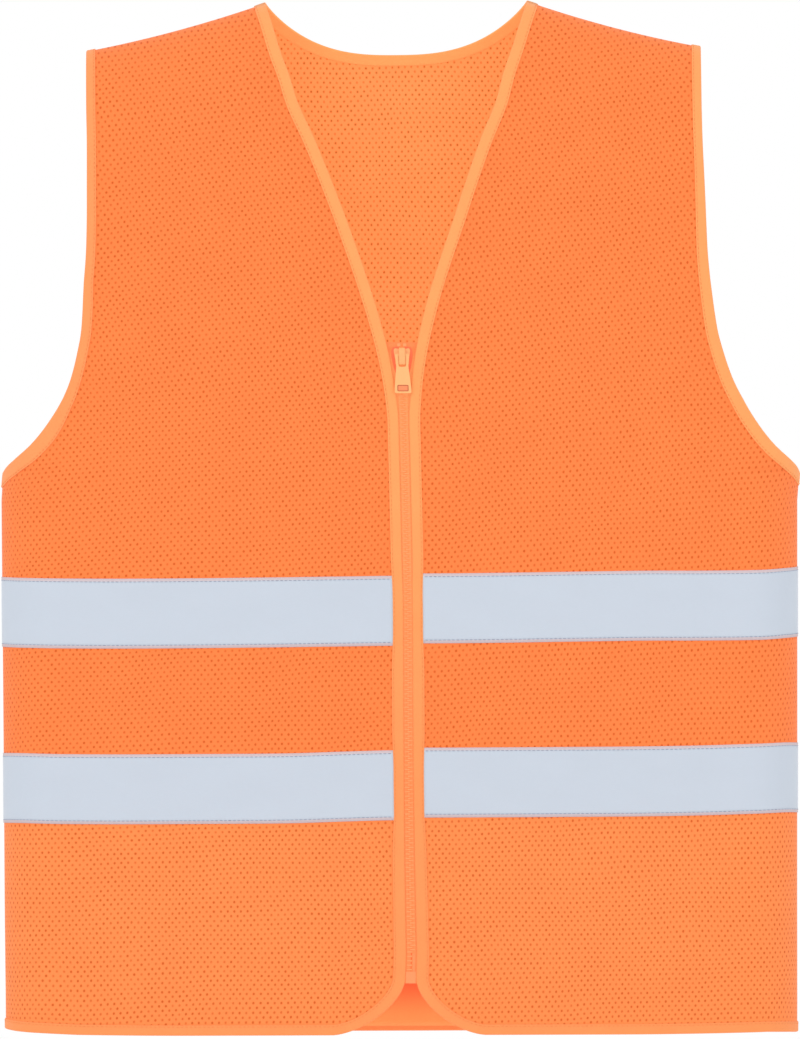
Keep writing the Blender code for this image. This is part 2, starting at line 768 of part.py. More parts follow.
def build():
    clear_scene()
    parts = new_collection(NAME)
    cutters = new_collection("cutters")
    mats = {
        "mesh": material("orange_mesh", ORANGE_MESH, 0.85),
        "binding": material("orange_binding", ORANGE_BINDING, 0.75),
        "tape": material("reflective_tape", SILVER, 0.45),
        "zip": material("orange_plastic", ORANGE_PLASTIC, 0.45),
        "pull": material("orange_pull", ORANGE_PULL, 0.35),
    }
    sheet("back_panel", back_grid(0.0), PANEL, mats["mesh"], parts)
    make_back_tape("upper_tape_back", UPPER_TAPE[0], UPPER_TAPE[3], mats["tape"], parts)
    make_back_tape("lower_tape_back", LOWER_TAPE[0], LOWER_TAPE[3], mats["tape"], parts)
    make_back_hem(mats["binding"], parts)
    make_facing(mats["mesh"], parts)
    neck = make_neck_binding(mats["binding"], parts)
    notch = hide(block("cut_zip_notch", (-4.7, 4.7), (ZIP_Y - 4.0, ZIP_Y + 4.0), (-710.0, -696.6),
                       mats["zip"], cutters))
    sides = ((1.0, "left", PIN_TOP, 1.7), (-1.0, "right", CHAIN_BOTTOM, 0.1))
    for side, word, bottom, phase in sides:
        boolean(neck, make_front(side, mats, parts, cutters), "DIFFERENCE")
        make_armhole_binding(f"armhole_binding_{word}", side, mats["binding"], parts)
        make_zip_tape(f"zip_tape_{word}", side, notch, mats["binding"], parts)
        make_teeth(f"zip_teeth_{word}", side, bottom, phase, mats["zip"], parts)
        make_top_stop(f"zip_top_stop_{word}", side, mats["zip"], parts)
    make_retainer(mats, parts, cutters)
    make_slider(mats, parts, cutters)
    make_bridge(mats, parts)
    make_pull(mats, parts, cutters)


build()
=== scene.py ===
"""Looks of the high visibility vest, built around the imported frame. Lengths are in millimetres
until a mesh is made; the frame itself is in metres."""

import math

import bpy
import numpy as np
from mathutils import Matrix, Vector, noise


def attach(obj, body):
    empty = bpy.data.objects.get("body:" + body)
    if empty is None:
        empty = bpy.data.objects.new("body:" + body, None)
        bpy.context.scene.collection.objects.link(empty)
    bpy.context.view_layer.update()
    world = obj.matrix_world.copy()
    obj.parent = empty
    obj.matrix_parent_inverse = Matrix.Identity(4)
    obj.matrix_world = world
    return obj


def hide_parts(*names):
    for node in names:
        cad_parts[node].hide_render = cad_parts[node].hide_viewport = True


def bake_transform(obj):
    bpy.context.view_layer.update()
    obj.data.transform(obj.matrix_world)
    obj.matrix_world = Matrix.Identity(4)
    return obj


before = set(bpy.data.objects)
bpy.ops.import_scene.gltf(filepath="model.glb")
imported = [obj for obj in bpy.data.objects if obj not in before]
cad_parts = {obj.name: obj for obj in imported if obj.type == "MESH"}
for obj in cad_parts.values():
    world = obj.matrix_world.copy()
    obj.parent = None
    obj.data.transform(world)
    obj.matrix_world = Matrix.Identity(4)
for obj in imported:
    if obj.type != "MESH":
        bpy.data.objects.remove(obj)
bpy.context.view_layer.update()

MM = 0.001

# ---- outline, as in the CAD

HALF_CHEST = 286.2
HALF_HEM = 284.6
DEPTH = 40.0
SHOULDER_ROUND = 80.0
NECK_HALF = 95.0
SHOULDER_END = 221.4
SHOULDER_SLOPE = 0.3446
SHOULDER_DISH = 0.000625
BACK_NECK_DROP = 37.7
BACK_NECK_POWERS = (2.7, 0.92)
NECK_OVERRUN = 0.4
HEM_FRONT = 742.0
HEM_BACK = 740.2
HEM_SIDE = 739.0
HEM_RISE_START = 150.0
HEM_ROW_SHARE = 0.1
UNDERARM = 338.0
KINK = 685.0
MIDDLE_SHIFT = ((0, -2.8), (41, -3.0), (98, -1.6), (156, 0.0), (214, 0.5), (253, 1.4),
                (286, 2.4), (330, 3.5), (372, 4.5), (410, 5.3), (440, 5.7), (502, 5.95),
                (560, 6.3), (617, 6.95), (KINK, 8.22), (742, 6.72))
SIDE_SHIFT = ((0, -5.6), (75, -5.6), (145, -4.0), (200, -3.3), (285, 2.0), (330, 1.7), (345, 0.4),
              (358, -0.5), (420, -0.2), (502, 0.15), (646, 0.65), (718, 1.1))
TILT = ((0, 0.0075), (80, 0.0075), (260, 0.0), (620, 0.0), (739, 0.003))
MIDDLE_HALF = 100.0
V_EDGE = ((0, 95.4), (15, 90.3), (34, 84.4), (52, 78.0), (70, 72.9), (98, 60.9), (149, 42.0),
          (225, 17.2), (258, 9.7), (280, 6.6), (302, 4.95), (340, 4.95), (703, 4.95))
CORNER_TOP = 703.0
CORNER_WIDTH = 50.0
CORNER_POWER = 1.6
EDGE_INSET = 1.5
INSET_ROWS = ((271.0, 0.0), (307.0, 1.0), (KINK, 1.0), (703.0, 0.0))
ARMHOLE = ((34, 221.4), (90, 221.4), (130, 222.2), (175, 223.4), (205, 225.8), (235, 228.8),
           (251, 232.3), (271, 238.3), (289, 246.8), (307, 258.3), (319, 268.3), (328, 278.2),
           (334, 284.0), (338, 286.1))
UPPER_TAPE = (413.2, 412.8, 410.4, 405.6)
LOWER_TAPE = (540.2, 537.6, 536.2, 532.6)
TAPE_HEIGHT = 50.3
TAPE_END = 10.4
FACING_TOP = 672.0
FACING_BOTTOM = 737.5
BINDING_WIDTH = 7.4
FRONT_BINDING_WIDTH = ((0, 7.4), (225, 7.4), (280, 6.9), (400, 6.8), (425, 6.0), (455, 6.0),
                       (480, 6.8), (525, 6.8), (550, 6.1), (585, 6.1), (610, 7.3), (703, 7.9),
                       (738, 6.7))
FRONT_BINDING_INSET = ((300, 0.0), (400, 0.0), (425, -0.5), (540, -0.5), (620, -0.2), (703, 0.0),
                       (738, 0.3))
HEM_BINDING = (0.3, 6.7)
# lift of the hem towards the sides: of both layers at the corners, of the back layer all along
HEM_LIFT_TOP = 690.0
CORNER_LIFT = {-1: ((235, 0.0), (252, 0.5), (268, 0.9), (277, 1.3), (286, 2.2)),
               1: ((262, 0.0), (272, -0.5), (279, -1.0), (286, -2.0))}
BACK_LIFT = ((150, 0.0), (230, 1.3), (270, 1.7), (283, 1.3))
ARMHOLE_BINDING_INSET = 1.15
ARMHOLE_BINDING_WIDTH = {
    -1: ((200, 6.7), (215, 7.2), (272, 7.4), (286, 8.3), (294, 9.3), (301, 10.3), (308, 11.0),
         (338, 11.3)),
    1: ((110, 6.9), (150, 7.6), (193, 8.4), (236, 8.9), (286, 9.3), (338, 9.5)),
}
NECK_BINDING_SIZE = (0.0, 6.7)
# waviness of the tapes, downward, against the distance from the middle
TAPE_SAG = {
    (-1, "upper"): ((12, -0.4), (40, 0.0), (86, 0.6), (144, 1.2), (202, 1.5), (245, 1.25),
                    (277, 0.7), (308, 0.0)),
    (-1, "lower"): ((12, 0.3), (40, 1.0), (86, 2.3), (144, 2.4), (202, 2.1), (245, 1.4),
                    (277, 0.3), (308, 0.0)),
    (1, "upper"): ((12, 0.3), (60, 0.1), (115, -0.25), (173, -0.2), (216, 0.6), (259, 1.1),
                   (281, 0.4), (308, 0.0)),
    (1, "lower"): ((12, -0.2), (60, -0.25), (115, -0.2), (173, 0.0), (216, -0.1), (259, -0.6),
                   (281, -0.9), (308, 0.0)),
}
SIDES = ((1.0, "left"), (-1.0, "right"))

# waves of the cloth: length across, length down, height
BROAD_WAVE = (120.0, 170.0, 1.5)
UPRIGHT_WAVE = (42.0, 210.0, 0.7)
EDGE_CALM = 0.12
EDGE_ROOM = 60.0
SHOULDER_ROOM = 90.0
# puckers of the cloth along the tapes' seams
PUCKER_TOPS = (410.0, 537.0)
PUCKER_REACH = 13.0
PUCKER_LENGTH = 7.0
PUCKER_HEIGHT = 0.28

# rows and columns of the sheets
SHOULDER_FADE = ((80.0, 1.0), (128.0, 0.6), (168.0, 0.3), (205.0, 0.0))
ROW_STEP = 5.0
ARMHOLE_ROW_STEP = 3.8
TURN_STEPS = 22
STATION_GAP = 3.2
HEM_STATIONS = 380
ARMHOLE_SIDE_TOP = 116.0
ARMHOLE_CURVE_TOP = 232.0
SLOPE_FADE = (100.0, 200.0)
SQUARE_FADE = (150.0, 210.0)
TAPE_STRIPS = 12
TAPE_COLUMNS = 90
TAPE_MARGIN = 0.1

CLOTH_THICK = 0.6
TAPE_LIFT = 0.75
TAPE_THICK = 0.4
BINDING_LOW = -0.15
BINDING_HIGH = 0.75
BINDING_THICK = 0.62

# zip
ZIP_Y = -38.4
ZIP_TOP = 244.5
CHAIN_TOP = 253.4
CHAIN_BOTTOM = 696.5
PIN_TOP = 684.0
BOX_TOP = 697.0
BOX_BOTTOM = 705.6
TOOTH_PITCH = 3.2
TOOTH_HALF = 0.65
ZIP_SEAMS = (8.6, 11.4)
SLIDER_Z = 254.3
PIVOT_Y = -43.0


def smooth(points, x):
    """Monotone cubic through (x, y) points."""
    xs = [p[0] for p in points]
    ys = [p[1] for p in points]
    if x <= xs[0]:
        return ys[0]
    if x >= xs[-1]:
        return ys[-1]
    slopes = [(ys[i + 1] - ys[i]) / (xs[i + 1] - xs[i]) for i in range(len(xs) - 1)]
    i = next(k for k in range(len(slopes)) if x <= xs[k + 1])

    def tangent(k):
        if k == 0 or k == len(xs) - 1:
            return slopes[min(k, len(slopes) - 1)]
        a, b = slopes[k - 1], slopes[k]
        return 0.0 if a * b <= 0 else 2 * a * b / (a + b)

    h = xs[i + 1] - xs[i]
    t = (x - xs[i]) / h
    m0, m1 = tangent(i) * h, tangent(i + 1) * h
    return (ys[i] * (2 * t ** 3 - 3 * t ** 2 + 1) + m0 * (t ** 3 - 2 * t ** 2 + t)
            + ys[i + 1] * (3 * t ** 2 - 2 * t ** 3) + m1 * (t ** 3 - t ** 2))


def wave(points, x):
    """Smooth curve through (x, y) points that may rise and fall."""
    xs, ys = (np.array(values, float) for values in zip(*points))
    x = min(max(x, xs[0]), xs[-1])
    i = min(int(np.searchsorted(xs, x, "right")) - 1, len(xs) - 2)
    t = (x - xs[i]) / (xs[i + 1] - xs[i])
    before, after = ys[max(i - 1, 0)], ys[min(i + 2, len(ys) - 1)]
    a, b = ys[i], ys[i + 1]
    return float(a + t * (0.5 * (b - before) + t * (before - 2.5 * a + 2 * b - 0.5 * after
                                                    + t * (1.5 * (a - b) + 0.5 * (after - before)))))


def ridge(x):
    out = abs(x) - NECK_HALF
    if out >= 0:
        return -SHOULDER_SLOPE * out + SHOULDER_DISH * out * out
    return -SHOULDER_SLOPE * out - SHOULDER_SLOPE * out * out / (2 * NECK_HALF)


def half_width(z):
    share = min(max((-z - UNDERARM) / (HEM_SIDE - UNDERARM), 0.0), 1.0)
    return HALF_CHEST + share * (HALF_HEM - HALF_CHEST)


def half_girth(z):
    return half_width(z) - DEPTH + DEPTH * math.pi / 2


def along_cloth(x, z):
    flat = half_width(z) - DEPTH
    if x <= flat:
        return x
    return flat + DEPTH * math.asin(min((x - flat) / DEPTH, 1.0))


def against(rows, z):
    """Value at height z of a table against the height below the neck points."""
    heights, values = zip(*rows)
    return float(np.interp(-z, heights, values))


def lean(x, z):
    """Sideways shift of a point."""
    middle = min(max((HALF_CHEST - abs(x)) / (HALF_CHEST - MIDDLE_HALF), 0.0), 1.0)
    return middle * against(MIDDLE_SHIFT, z) + (1.0 - middle) * against(SIDE_SHIFT, z)


def front_edge(depth):
    if depth <= CORNER_TOP:
        return smooth(V_EDGE, depth)
    fall = min((depth - CORNER_TOP) / (HEM_FRONT - CORNER_TOP), 1.0)
    inside = (1.0 - fall ** CORNER_POWER) ** (1.0 / CORNER_POWER)
    return V_EDGE[-1][1] + CORNER_WIDTH * (1.0 - inside)


def panel_edge(depth):
    """Raw edge of the mesh inside the front binding."""
    heights, shares = zip(*INSET_ROWS)
    return front_edge(depth) + EDGE_INSET * float(np.interp(depth, heights, shares))


def outer_edge(depth):
    if depth >= UNDERARM:
        return half_girth(-depth)
    return along_cloth(smooth(ARMHOLE, depth), -depth)


def back_neck(x):
    share = min(abs(x) / NECK_HALF, 1.0)
    inner, outer = BACK_NECK_POWERS
    return -BACK_NECK_DROP * (1.0 - share ** inner) ** outer


def front_hem(s):
    span = half_girth(-HEM_SIDE) - HEM_RISE_START
    share = min(max((s - HEM_RISE_START) / span, 0.0), 1.0)
    return -(HEM_FRONT + (HEM_SIDE - HEM_FRONT) * share ** 2)


def ease(t):
    t = min(max(t, 0.0), 1.0)
    return t * t * (3 - 2 * t)


def ripple(s, z, face):
    """Soft waves of the cloth off its even shape, calmer near edges and seams."""
    depth = -z
    room = outer_edge(depth) - abs(s)
    if face < 0:
        room = min(room, abs(s) - front_edge(depth))
    calm = EDGE_CALM + (1.0 - EDGE_CALM) * ease(room / EDGE_ROOM)
    top = ease((ridge(s) - z) / SHOULDER_ROOM)
    value = 0.0
    for (across, down, height), seed in ((BROAD_WAVE, face * 5.0 + 1.0),
                                         (UPRIGHT_WAVE, face * 9.0 + 4.0)):
        value += height * noise.noise(Vector((s / across, z / down, seed)))
    value *= calm * top
    for start in PUCKER_TOPS:
        off = min(abs(depth - start), abs(depth - start - TAPE_HEIGHT))
        near = max(0.0, 1.0 - off / PUCKER_REACH)
        pucker = noise.noise(Vector((s / PUCKER_LENGTH, start, face * 3.0)))
        value += PUCKER_HEIGHT * calm * near * pucker
    return value


def hem_lift(x, side, z, face):
    """How far the hem rises above its line near the sides."""
    lift = against(CORNER_LIFT[int(side)], -x)
    if face > 0:
        lift += against(BACK_LIFT, -x)
    return lift * ease((-z - HEM_LIFT_TOP) / (HEM_SIDE - HEM_LIFT_TOP))


def cloth(s, z, face):
    """Point on the cloth's inner face, and the cloth's outward normal there."""
    flat = half_width(z) - DEPTH
    turn = min(max(abs(s) - flat, 0.0) / DEPTH, math.pi / 2)
    x = min(abs(s), flat) + DEPTH * math.sin(turn)
    fall = min(max((ridge(x) - z) / SHOULDER_ROUND, 0.0), 1.0)
    round_off = math.sqrt(max(1.0 - (1.0 - fall) ** 2, 0.0))
    y = max(DEPTH * math.cos(turn) * round_off, 0.1)
    tilt = math.atan2((1.0 - fall) * DEPTH, round_off * SHOULDER_ROUND)
    side = math.copysign(1.0, s)
    n = np.array((side * math.sin(turn) * math.cos(tilt),
                  face * math.cos(turn) * math.cos(tilt), math.sin(tilt)))
    x = side * x
    lift = hem_lift(abs(x), side, z, face)
    p = np.array((x + lean(x, z), face * y, z + x * against(TILT, z) + lift))
    return p + ripple(s, z, face) * n, n


# ---- meshes


def new_object(name, points, faces, uvs=None, materials=(), slots=None):
    """Smooth mesh object from points in millimetres; uvs are per point, in metres."""
    mesh = bpy.data.meshes.new(name)
    mesh.from_pydata([tuple(p) for p in np.asarray(points, float) * MM], [], faces)
    mesh.update()
    if uvs is not None:
        layer = mesh.uv_layers.new(name="UVMap")
        index = np.empty(len(mesh.loops), int)
        mesh.loops.foreach_get("vertex_index", index)
        layer.data.foreach_set("uv", np.asarray(uvs, float)[index].ravel())
    for mat in materials:
        mesh.materials.append(mat)
    if slots is not None:
        mesh.polygons.foreach_set("material_index", np.asarray(slots, np.int32))
    mesh.polygons.foreach_set("use_smooth", [True] * len(mesh.polygons))
    obj = bpy.data.objects.new(name, mesh)
    bpy.context.scene.collection.objects.link(obj)
    return obj


def face_on(points):
    """Map coordinates of points as seen from the front, in metres."""
    return [(p[0] * MM, p[2] * MM) for p in points]


def quad_strip(base, rows, cols, closed=False):
    faces = []
    for i in range(rows - 1):
        for j in range(cols if closed else cols - 1):
            a = base + i * cols + j
            b = base + i * cols + (j + 1) % cols
            faces.append((a, b, b + cols, a + cols))
    return faces


def tube_faces(base, count, size):
    """Sides and end caps of a tube whose rings start at one vertex."""
    faces = quad_strip(base, count, size, closed=True)
    faces.append(tuple(base + j for j in range(size - 1, -1, -1)))
    faces.append(tuple(base + (count - 1) * size + j for j in range(size)))
    return faces


def thick_sheet(name, params, face, low, high, materials, flip):
    """Closed sheet over a grid of (s, z), between two heights off the cloth."""
    rows, cols = len(params), len(params[0])
    outer, inner, uv = [], [], []
    for row in params:
        for s, z in row:
            p, n = cloth(s, z, face)
            outer.append(p + high * n)
            inner.append(p + low * n)
            uv.append((s * MM, z * MM))
    count = rows * cols
    faces = quad_strip(0, rows, cols)
    under = [tuple(v + count for v in f[::-1]) for f in faces]
    rim = [j for j in range(cols)] + [i * cols + cols - 1 for i in range(1, rows)]
    rim += [(rows - 1) * cols + j for j in range(cols - 2, -1, -1)]
    rim += [i * cols for i in range(rows - 2, 0, -1)]
    edge = [(rim[k], rim[k] + count, rim[(k + 1) % len(rim)] + count, rim[(k + 1) % len(rim)])
            for k in range(len(rim))]
    slots = [0] * len(faces) + [1] * len(under) + [0] * len(edge)
    faces = faces + under + edge
    if flip:
        faces = [f[::-1] for f in faces]
    return new_object(name, outer + inner, faces, uv + uv, materials, slots)


def tube(name, rings, materials, uvs=None, closed=False, flip=False):
    """Closed tube through rings of points."""
    count, size = len(rings), len(rings[0])
    points = [p for ring in rings for p in ring]
    if closed:
        last = (count - 1) * size
        faces = quad_strip(0, count, size, closed=True)
        faces += [(last + j, last + (j + 1) % size, (j + 1) % size, j) for j in range(size)]
    else:
        faces = tube_faces(0, count, size)
    if flip:
        faces = [f[::-1] for f in faces]
    return new_object(name, points, faces, uvs, materials)


# ---- materials


class Shade:
    """Short hand for building a material's nodes."""

    def __init__(self, name):
        self.mat = bpy.data.materials.new(name)
        self.mat.use_nodes = True
        self.tree = self.mat.node_tree
        self.shader = self.tree.nodes["Principled BSDF"]
        coords = self.tree.nodes.new("ShaderNodeUVMap")
        coords.uv_map = "UVMap"
        self.uv = coords.outputs["UV"]

    def put(self, socket, value):
        if isinstance(value, bpy.types.NodeSocket):
            self.tree.links.new(value, socket)
        else:
            socket.default_value = value

    def node(self, kind, *values, **settings):
        """New node with its settings made and its first inputs filled."""
        node = self.tree.nodes.new("ShaderNode" + kind)
        for key, value in settings.items():
            setattr(node, key, value)
        for socket, value in zip(node.inputs, values):
            self.put(socket, value)
        return node

    def math(self, operation, *values):
        return self.node("Math", *values, operation=operation).outputs[0]

    def split(self, vector):
        node = self.node("SeparateXYZ", vector)
        return node.outputs[0], node.outputs[1]

    def join(self, x, y, z=0.0):
        return self.node("CombineXYZ", x, y, z).outputs[0]

    def step(self, *values):
        """Smooth step: the value, where it starts, where it ends and, if not 0 and 1, its ends."""
        return self.node("MapRange", *values, interpolation_type="SMOOTHSTEP").outputs[0]

    def noise(self, vector, scale, detail=2.0):
        node = self.node("TexNoise", vector)
        node.inputs["Scale"].default_value = scale
        node.inputs["Detail"].default_value = detail
        return node.outputs["Fac"]

    def grain(self, u, v, across, down, seed=0.0, detail=2.0):
        """Noise with its own scale along each direction."""
        place = self.join(self.math("MULTIPLY", u, across), self.math("MULTIPLY", v, down), seed)
        return self.noise(place, 1.0, detail)

    def rows(self, value, length):
        """Sine with a repeat of the given length."""
        return self.math("SINE", self.math("MULTIPLY", value, 2 * math.pi / length))

    def vary(self, value, grain, amount):
        """Add a grain's swing about its middle."""
        return self.math("MULTIPLY_ADD", self.math("SUBTRACT", grain, 0.5), amount, value)

    def cell_noise(self, vector):
        return self.node("TexWhiteNoise", vector, noise_dimensions="3D").outputs["Value"]

    def mix(self, factor, a, b, blend="MIX"):
        node = self.node("Mix", data_type="RGBA", blend_type=blend)
        self.put(node.inputs["Factor"], factor)
        self.put(node.inputs["A"], a)
        self.put(node.inputs["B"], b)
        return next(o for o in node.outputs if o.type == "RGBA")

    def tint(self, colour, tone):
        return self.mix(1.0, colour, self.join(tone, tone, tone), "MULTIPLY")

    def bump(self, height, distance, strength):
        node = self.node("Bump")
        node.inputs["Strength"].default_value = strength
        node.inputs["Distance"].default_value = distance
        self.put(node.inputs["Height"], height)
        self.put(self.shader.inputs["Normal"], node.outputs[0])

    def set(self, **values):
        for key, value in values.items():
            self.put(self.shader.inputs[key.replace("_", " ")], value)


def rgb(r, g, b):
    """Linear colour from 8-bit display values."""
    def linear(v):
        v = v / 255.0
        return v / 12.92 if v <= 0.04045 else ((v + 0.055) / 1.055) ** 2.4
    return (linear(r), linear(g), linear(b), 1.0)


DOT_PITCH = 4.75
DOT_ROW = 3.36
DOT_HALF_WIDTH = 0.82
DOT_HALF_HEIGHT = 0.98
DOT_SWAY = 0.006
MARGIN_START = (0.0229, 0.0233)
TAPE_WEAVE = 0.0007


def dye_with_painted_glow(shade, colour, reflect, painted_glow):
    """Fluorescent colour: part of it reflected light and part a painted glow of the same colour,
    painted light that fills in the shade.
    """
    shade.put(shade.shader.inputs["Base Color"],
              shade.mix(1.0, colour, (reflect, reflect, reflect, 1.0), "MULTIPLY"))
    shade.put(shade.shader.inputs["Emission Color"], colour)
    shade.shader.inputs["Emission Strength"].default_value = painted_glow


def mesh_fabric(name, upper, lower, painted_light_step, hole_shade, skewed, reflect, painted_glow):
    """Knitted mesh: staggered small holes in rows between fine knitted ribs. The holes are dark dots
    of painted shade, and the colour steps from upper to lower down the cloth as painted light.
    """
    g = Shade(name)
    u, v = g.split(g.uv)
    along_u, along_v = u, v
    if skewed:
        slope = g.step(v, -0.70, -0.12, 0.025, 0.125)
        turn = g.step(v, -0.60, -0.15, 0.0, 0.035)
        u, v = (g.math("MULTIPLY_ADD", turn, along_v, along_u),
                g.math("SUBTRACT", along_v, g.math("MULTIPLY", slope, along_u)))
    swayed_u = g.vary(u, g.grain(u, v, 14.0, 14.0), DOT_SWAY)
    swayed_v = g.vary(v, g.grain(v, u, 17.0, 11.0, 3.0), DOT_SWAY)
    row = g.math("DIVIDE", swayed_v, DOT_ROW * MM)
    row_number = g.math("FLOOR", row)
    odd = g.math("FLOORED_MODULO", row_number, 2.0)
    column = g.math("MULTIPLY_ADD", odd, 0.5, g.math("DIVIDE", swayed_u, DOT_PITCH * MM))
    fu = g.math("SUBTRACT", g.math("FRACT", column), 0.5)
    fv = g.math("SUBTRACT", g.math("FRACT", row), 0.5)
    cell = g.cell_noise(g.join(g.math("FLOOR", column), row_number))
    across = g.math("DIVIDE", g.math("MULTIPLY", fu, DOT_PITCH), DOT_HALF_WIDTH)
    along = g.math("DIVIDE", g.math("MULTIPLY", fv, DOT_ROW), DOT_HALF_HEIGHT)
    away = g.math("SQRT", g.math("ADD", g.math("MULTIPLY", across, across),
                                 g.math("MULTIPLY", along, along)))
    hole = g.step(away, 0.35, 1.60, 1.0, 0.0)
    rim = g.math("SUBTRACT", g.step(away, 1.2, 2.0, 1.0, 0.0), hole)
    # Painted shade in the holes, a little different from hole to hole.
    hole_shade_share = g.math("MULTIPLY", hole, g.math("MULTIPLY_ADD", cell, 0.38, 0.50))
    fine = g.grain(u, v, 1500.0, 2300.0)
    ribs = g.rows(swayed_v, DOT_ROW * MM / 4)
    cloudy = g.grain(u, v, 26.0, 26.0, 7.0)
    # Painted light: the colour steps between upper and lower down the cloth.
    base = g.mix(g.step(along_v, *painted_light_step), lower, upper)
    tone = g.math("ADD", g.math("MULTIPLY_ADD", fine, 0.16, 0.90), g.vary(0.02, cloudy, 0.10))
    tone = g.math("MULTIPLY_ADD", rim, 0.05, tone)
    dye_with_painted_glow(g, g.mix(hole_shade_share, g.tint(base, tone), hole_shade), reflect, painted_glow)
    g.set(Roughness=0.82, Specular_IOR_Level=0.2, Sheen_Weight=0.08, Sheen_Roughness=0.5)
    height = g.math("SUBTRACT", g.math("MULTIPLY_ADD", fine, 0.12, g.math("MULTIPLY", ribs, 0.05)),
                    g.math("MULTIPLY", hole, 1.0))
    g.bump(height, 0.0005, 0.55)
    return g.mat


def woven(name, colour, reflect, painted_glow, *painted_light_changes, thread=0.55):
    """Plain fine weave; each change is (axis, where it starts, where it ends, new colour), painted
    light: a step to a lighter or darker tone of the same cloth.
    """
    g = Shade(name)
    u, v = g.split(g.uv)
    # Painted light and shade: steps to lighter or darker tones along the cloth.
    for axis, start, end, other in painted_light_changes:
        colour = g.mix(g.step((u, v)[axis], start, end), colour, other)
    weave = g.math("MULTIPLY", g.rows(u, thread * MM), g.rows(v, thread * MM))
    fine = g.grain(u, v, 700.0, 700.0)
    cloudy = g.grain(u, v, 60.0, 60.0, 2.0)
    tone = g.math("ADD", g.math("MULTIPLY_ADD", fine, 0.12, 0.94), g.math("MULTIPLY", weave, 0.03))
    dye_with_painted_glow(g, g.tint(colour, g.vary(tone, cloudy, 0.08)), reflect, painted_glow)
    g.set(Roughness=0.75, Specular_IOR_Level=0.25, Sheen_Weight=0.1)
    g.bump(g.math("MULTIPLY_ADD", weave, 0.6, fine), 0.00012, 0.6)
    return g.mat


def reflective():
    """Silver beaded fabric with plain woven margins; v runs from the tape's lower edge."""
    g = Shade("reflective_fabric")
    u, v = g.split(g.uv)
    middle = g.math("ABSOLUTE", g.math("SUBTRACT", v, TAPE_HEIGHT / 2 * MM))
    margin = g.step(middle, *MARGIN_START)
    beads = g.grain(u, v, 5200.0, 5200.0, detail=1.0)
    weave = g.math("MULTIPLY", g.rows(u, TAPE_WEAVE), g.rows(v, TAPE_WEAVE))
    cloudy = g.grain(u, v, 22.0, 40.0, detail=3.0)
    worn = g.grain(u, v, 260.0, 900.0)
    tone = g.math("ADD", g.math("MULTIPLY_ADD", beads, 0.07, 0.955),
                  g.math("MULTIPLY", weave, 0.012))
    tone = g.vary(g.vary(tone, cloudy, 0.05), worn, 0.03)
    g.put(g.shader.inputs["Base Color"],
          g.mix(margin, g.tint(TAPE_COLOUR, tone), g.tint(MARGIN_COLOUR, tone)))
    g.put(g.shader.inputs["Roughness"], g.step(margin, 0.0, 1.0, 0.48, 0.85))
    g.set(Specular_IOR_Level=0.35, Sheen_Weight=0.15, Sheen_Roughness=0.3)
    g.bump(g.math("ADD", beads, g.math("MULTIPLY", weave, 0.5)), 0.00008, 0.5)
    return g.mat


def thread(name, colour, reflect=1.0, painted_glow=0.0):
    """Twisted sewing thread; u runs along it and v round it."""
    g = Shade(name)
    u, v = g.split(g.uv)
    twist = g.math("SINE", g.math("ADD", g.math("MULTIPLY", u, 2 * math.pi / 0.0006),
                                  g.math("MULTIPLY", v, 2 * math.pi)))
    lint = g.noise(g.join(g.math("MULTIPLY", u, 900.0), v), 1.0)
    tone = g.math("ADD", g.math("MULTIPLY", twist, 0.10), g.math("MULTIPLY_ADD", lint, 0.2, 0.88))
    dye_with_painted_glow(g, g.tint(colour, tone), reflect, painted_glow)
    g.set(Roughness=0.6, Specular_IOR_Level=0.3)
    g.bump(twist, 0.00008, 0.7)
    return g.mat


def moulded(name, colour, reflect, painted_glow, roughness, coat=0.0):
    """Moulded or lacquered zip part, with slight flow marks and worn spots."""
    g = Shade(name)
    place = g.node("TexCoord").outputs["Object"]
    flow = g.noise(place, 900.0, 3.0)
    fine = g.noise(place, 4200.0, 2.0)
    tone = g.math("ADD", g.math("MULTIPLY_ADD", flow, 0.14, 0.90),
                  g.math("MULTIPLY_ADD", fine, 0.06, 0.0))
    dye_with_painted_glow(g, g.tint(colour, tone), reflect, painted_glow)
    g.put(g.shader.inputs["Roughness"], g.math("MULTIPLY_ADD", flow, 0.18, roughness - 0.09))
    g.set(Specular_IOR_Level=0.5, Coat_Weight=coat, Coat_Roughness=0.15)
    g.bump(g.math("ADD", flow, g.math("MULTIPLY", fine, 0.4)), 0.00005, 0.5)
    return g.mat


TAPE_COLOUR = rgb(195, 204, 216)
MARGIN_COLOUR = rgb(211, 194, 198)

# Painted light: the outside mesh glows a little and turns lighter between 0.545 and 0.60 m down; its
# dark hole colour is painted shade.
OUTSIDE = mesh_fabric("mesh_outside", rgb(271, 139, 72), rgb(271, 149, 81), (-0.60, -0.545),
                      rgb(221, 90, 14), True, 0.70, 0.17)
# Painted light: a lighter copy of the mesh for the cloth's inner face, with a strong glow, turning
# lighter again between 0.14 and 0.25 m down against the shade in the V; its hole colour is painted
# shade.
INSIDE_PAINTED_LIGHT = mesh_fabric("mesh_inside_painted_light", rgb(271, 151, 84), rgb(271, 158, 92), (-0.25, -0.14),
                     rgb(190, 94, 22), False, 0.35, 0.72)
# Painted light and shade: a lighter copy of the binding cloth, turning darker between 0.32 and 0.62 m
# along it.
FRONT_BINDING = woven("front_binding_weave", rgb(262, 169, 99), 0.75, 0.17,
                      (0, 0.32, 0.62, rgb(262, 157, 91)))
BINDING = woven("binding_weave", rgb(262, 160, 95), 0.75, 0.17)
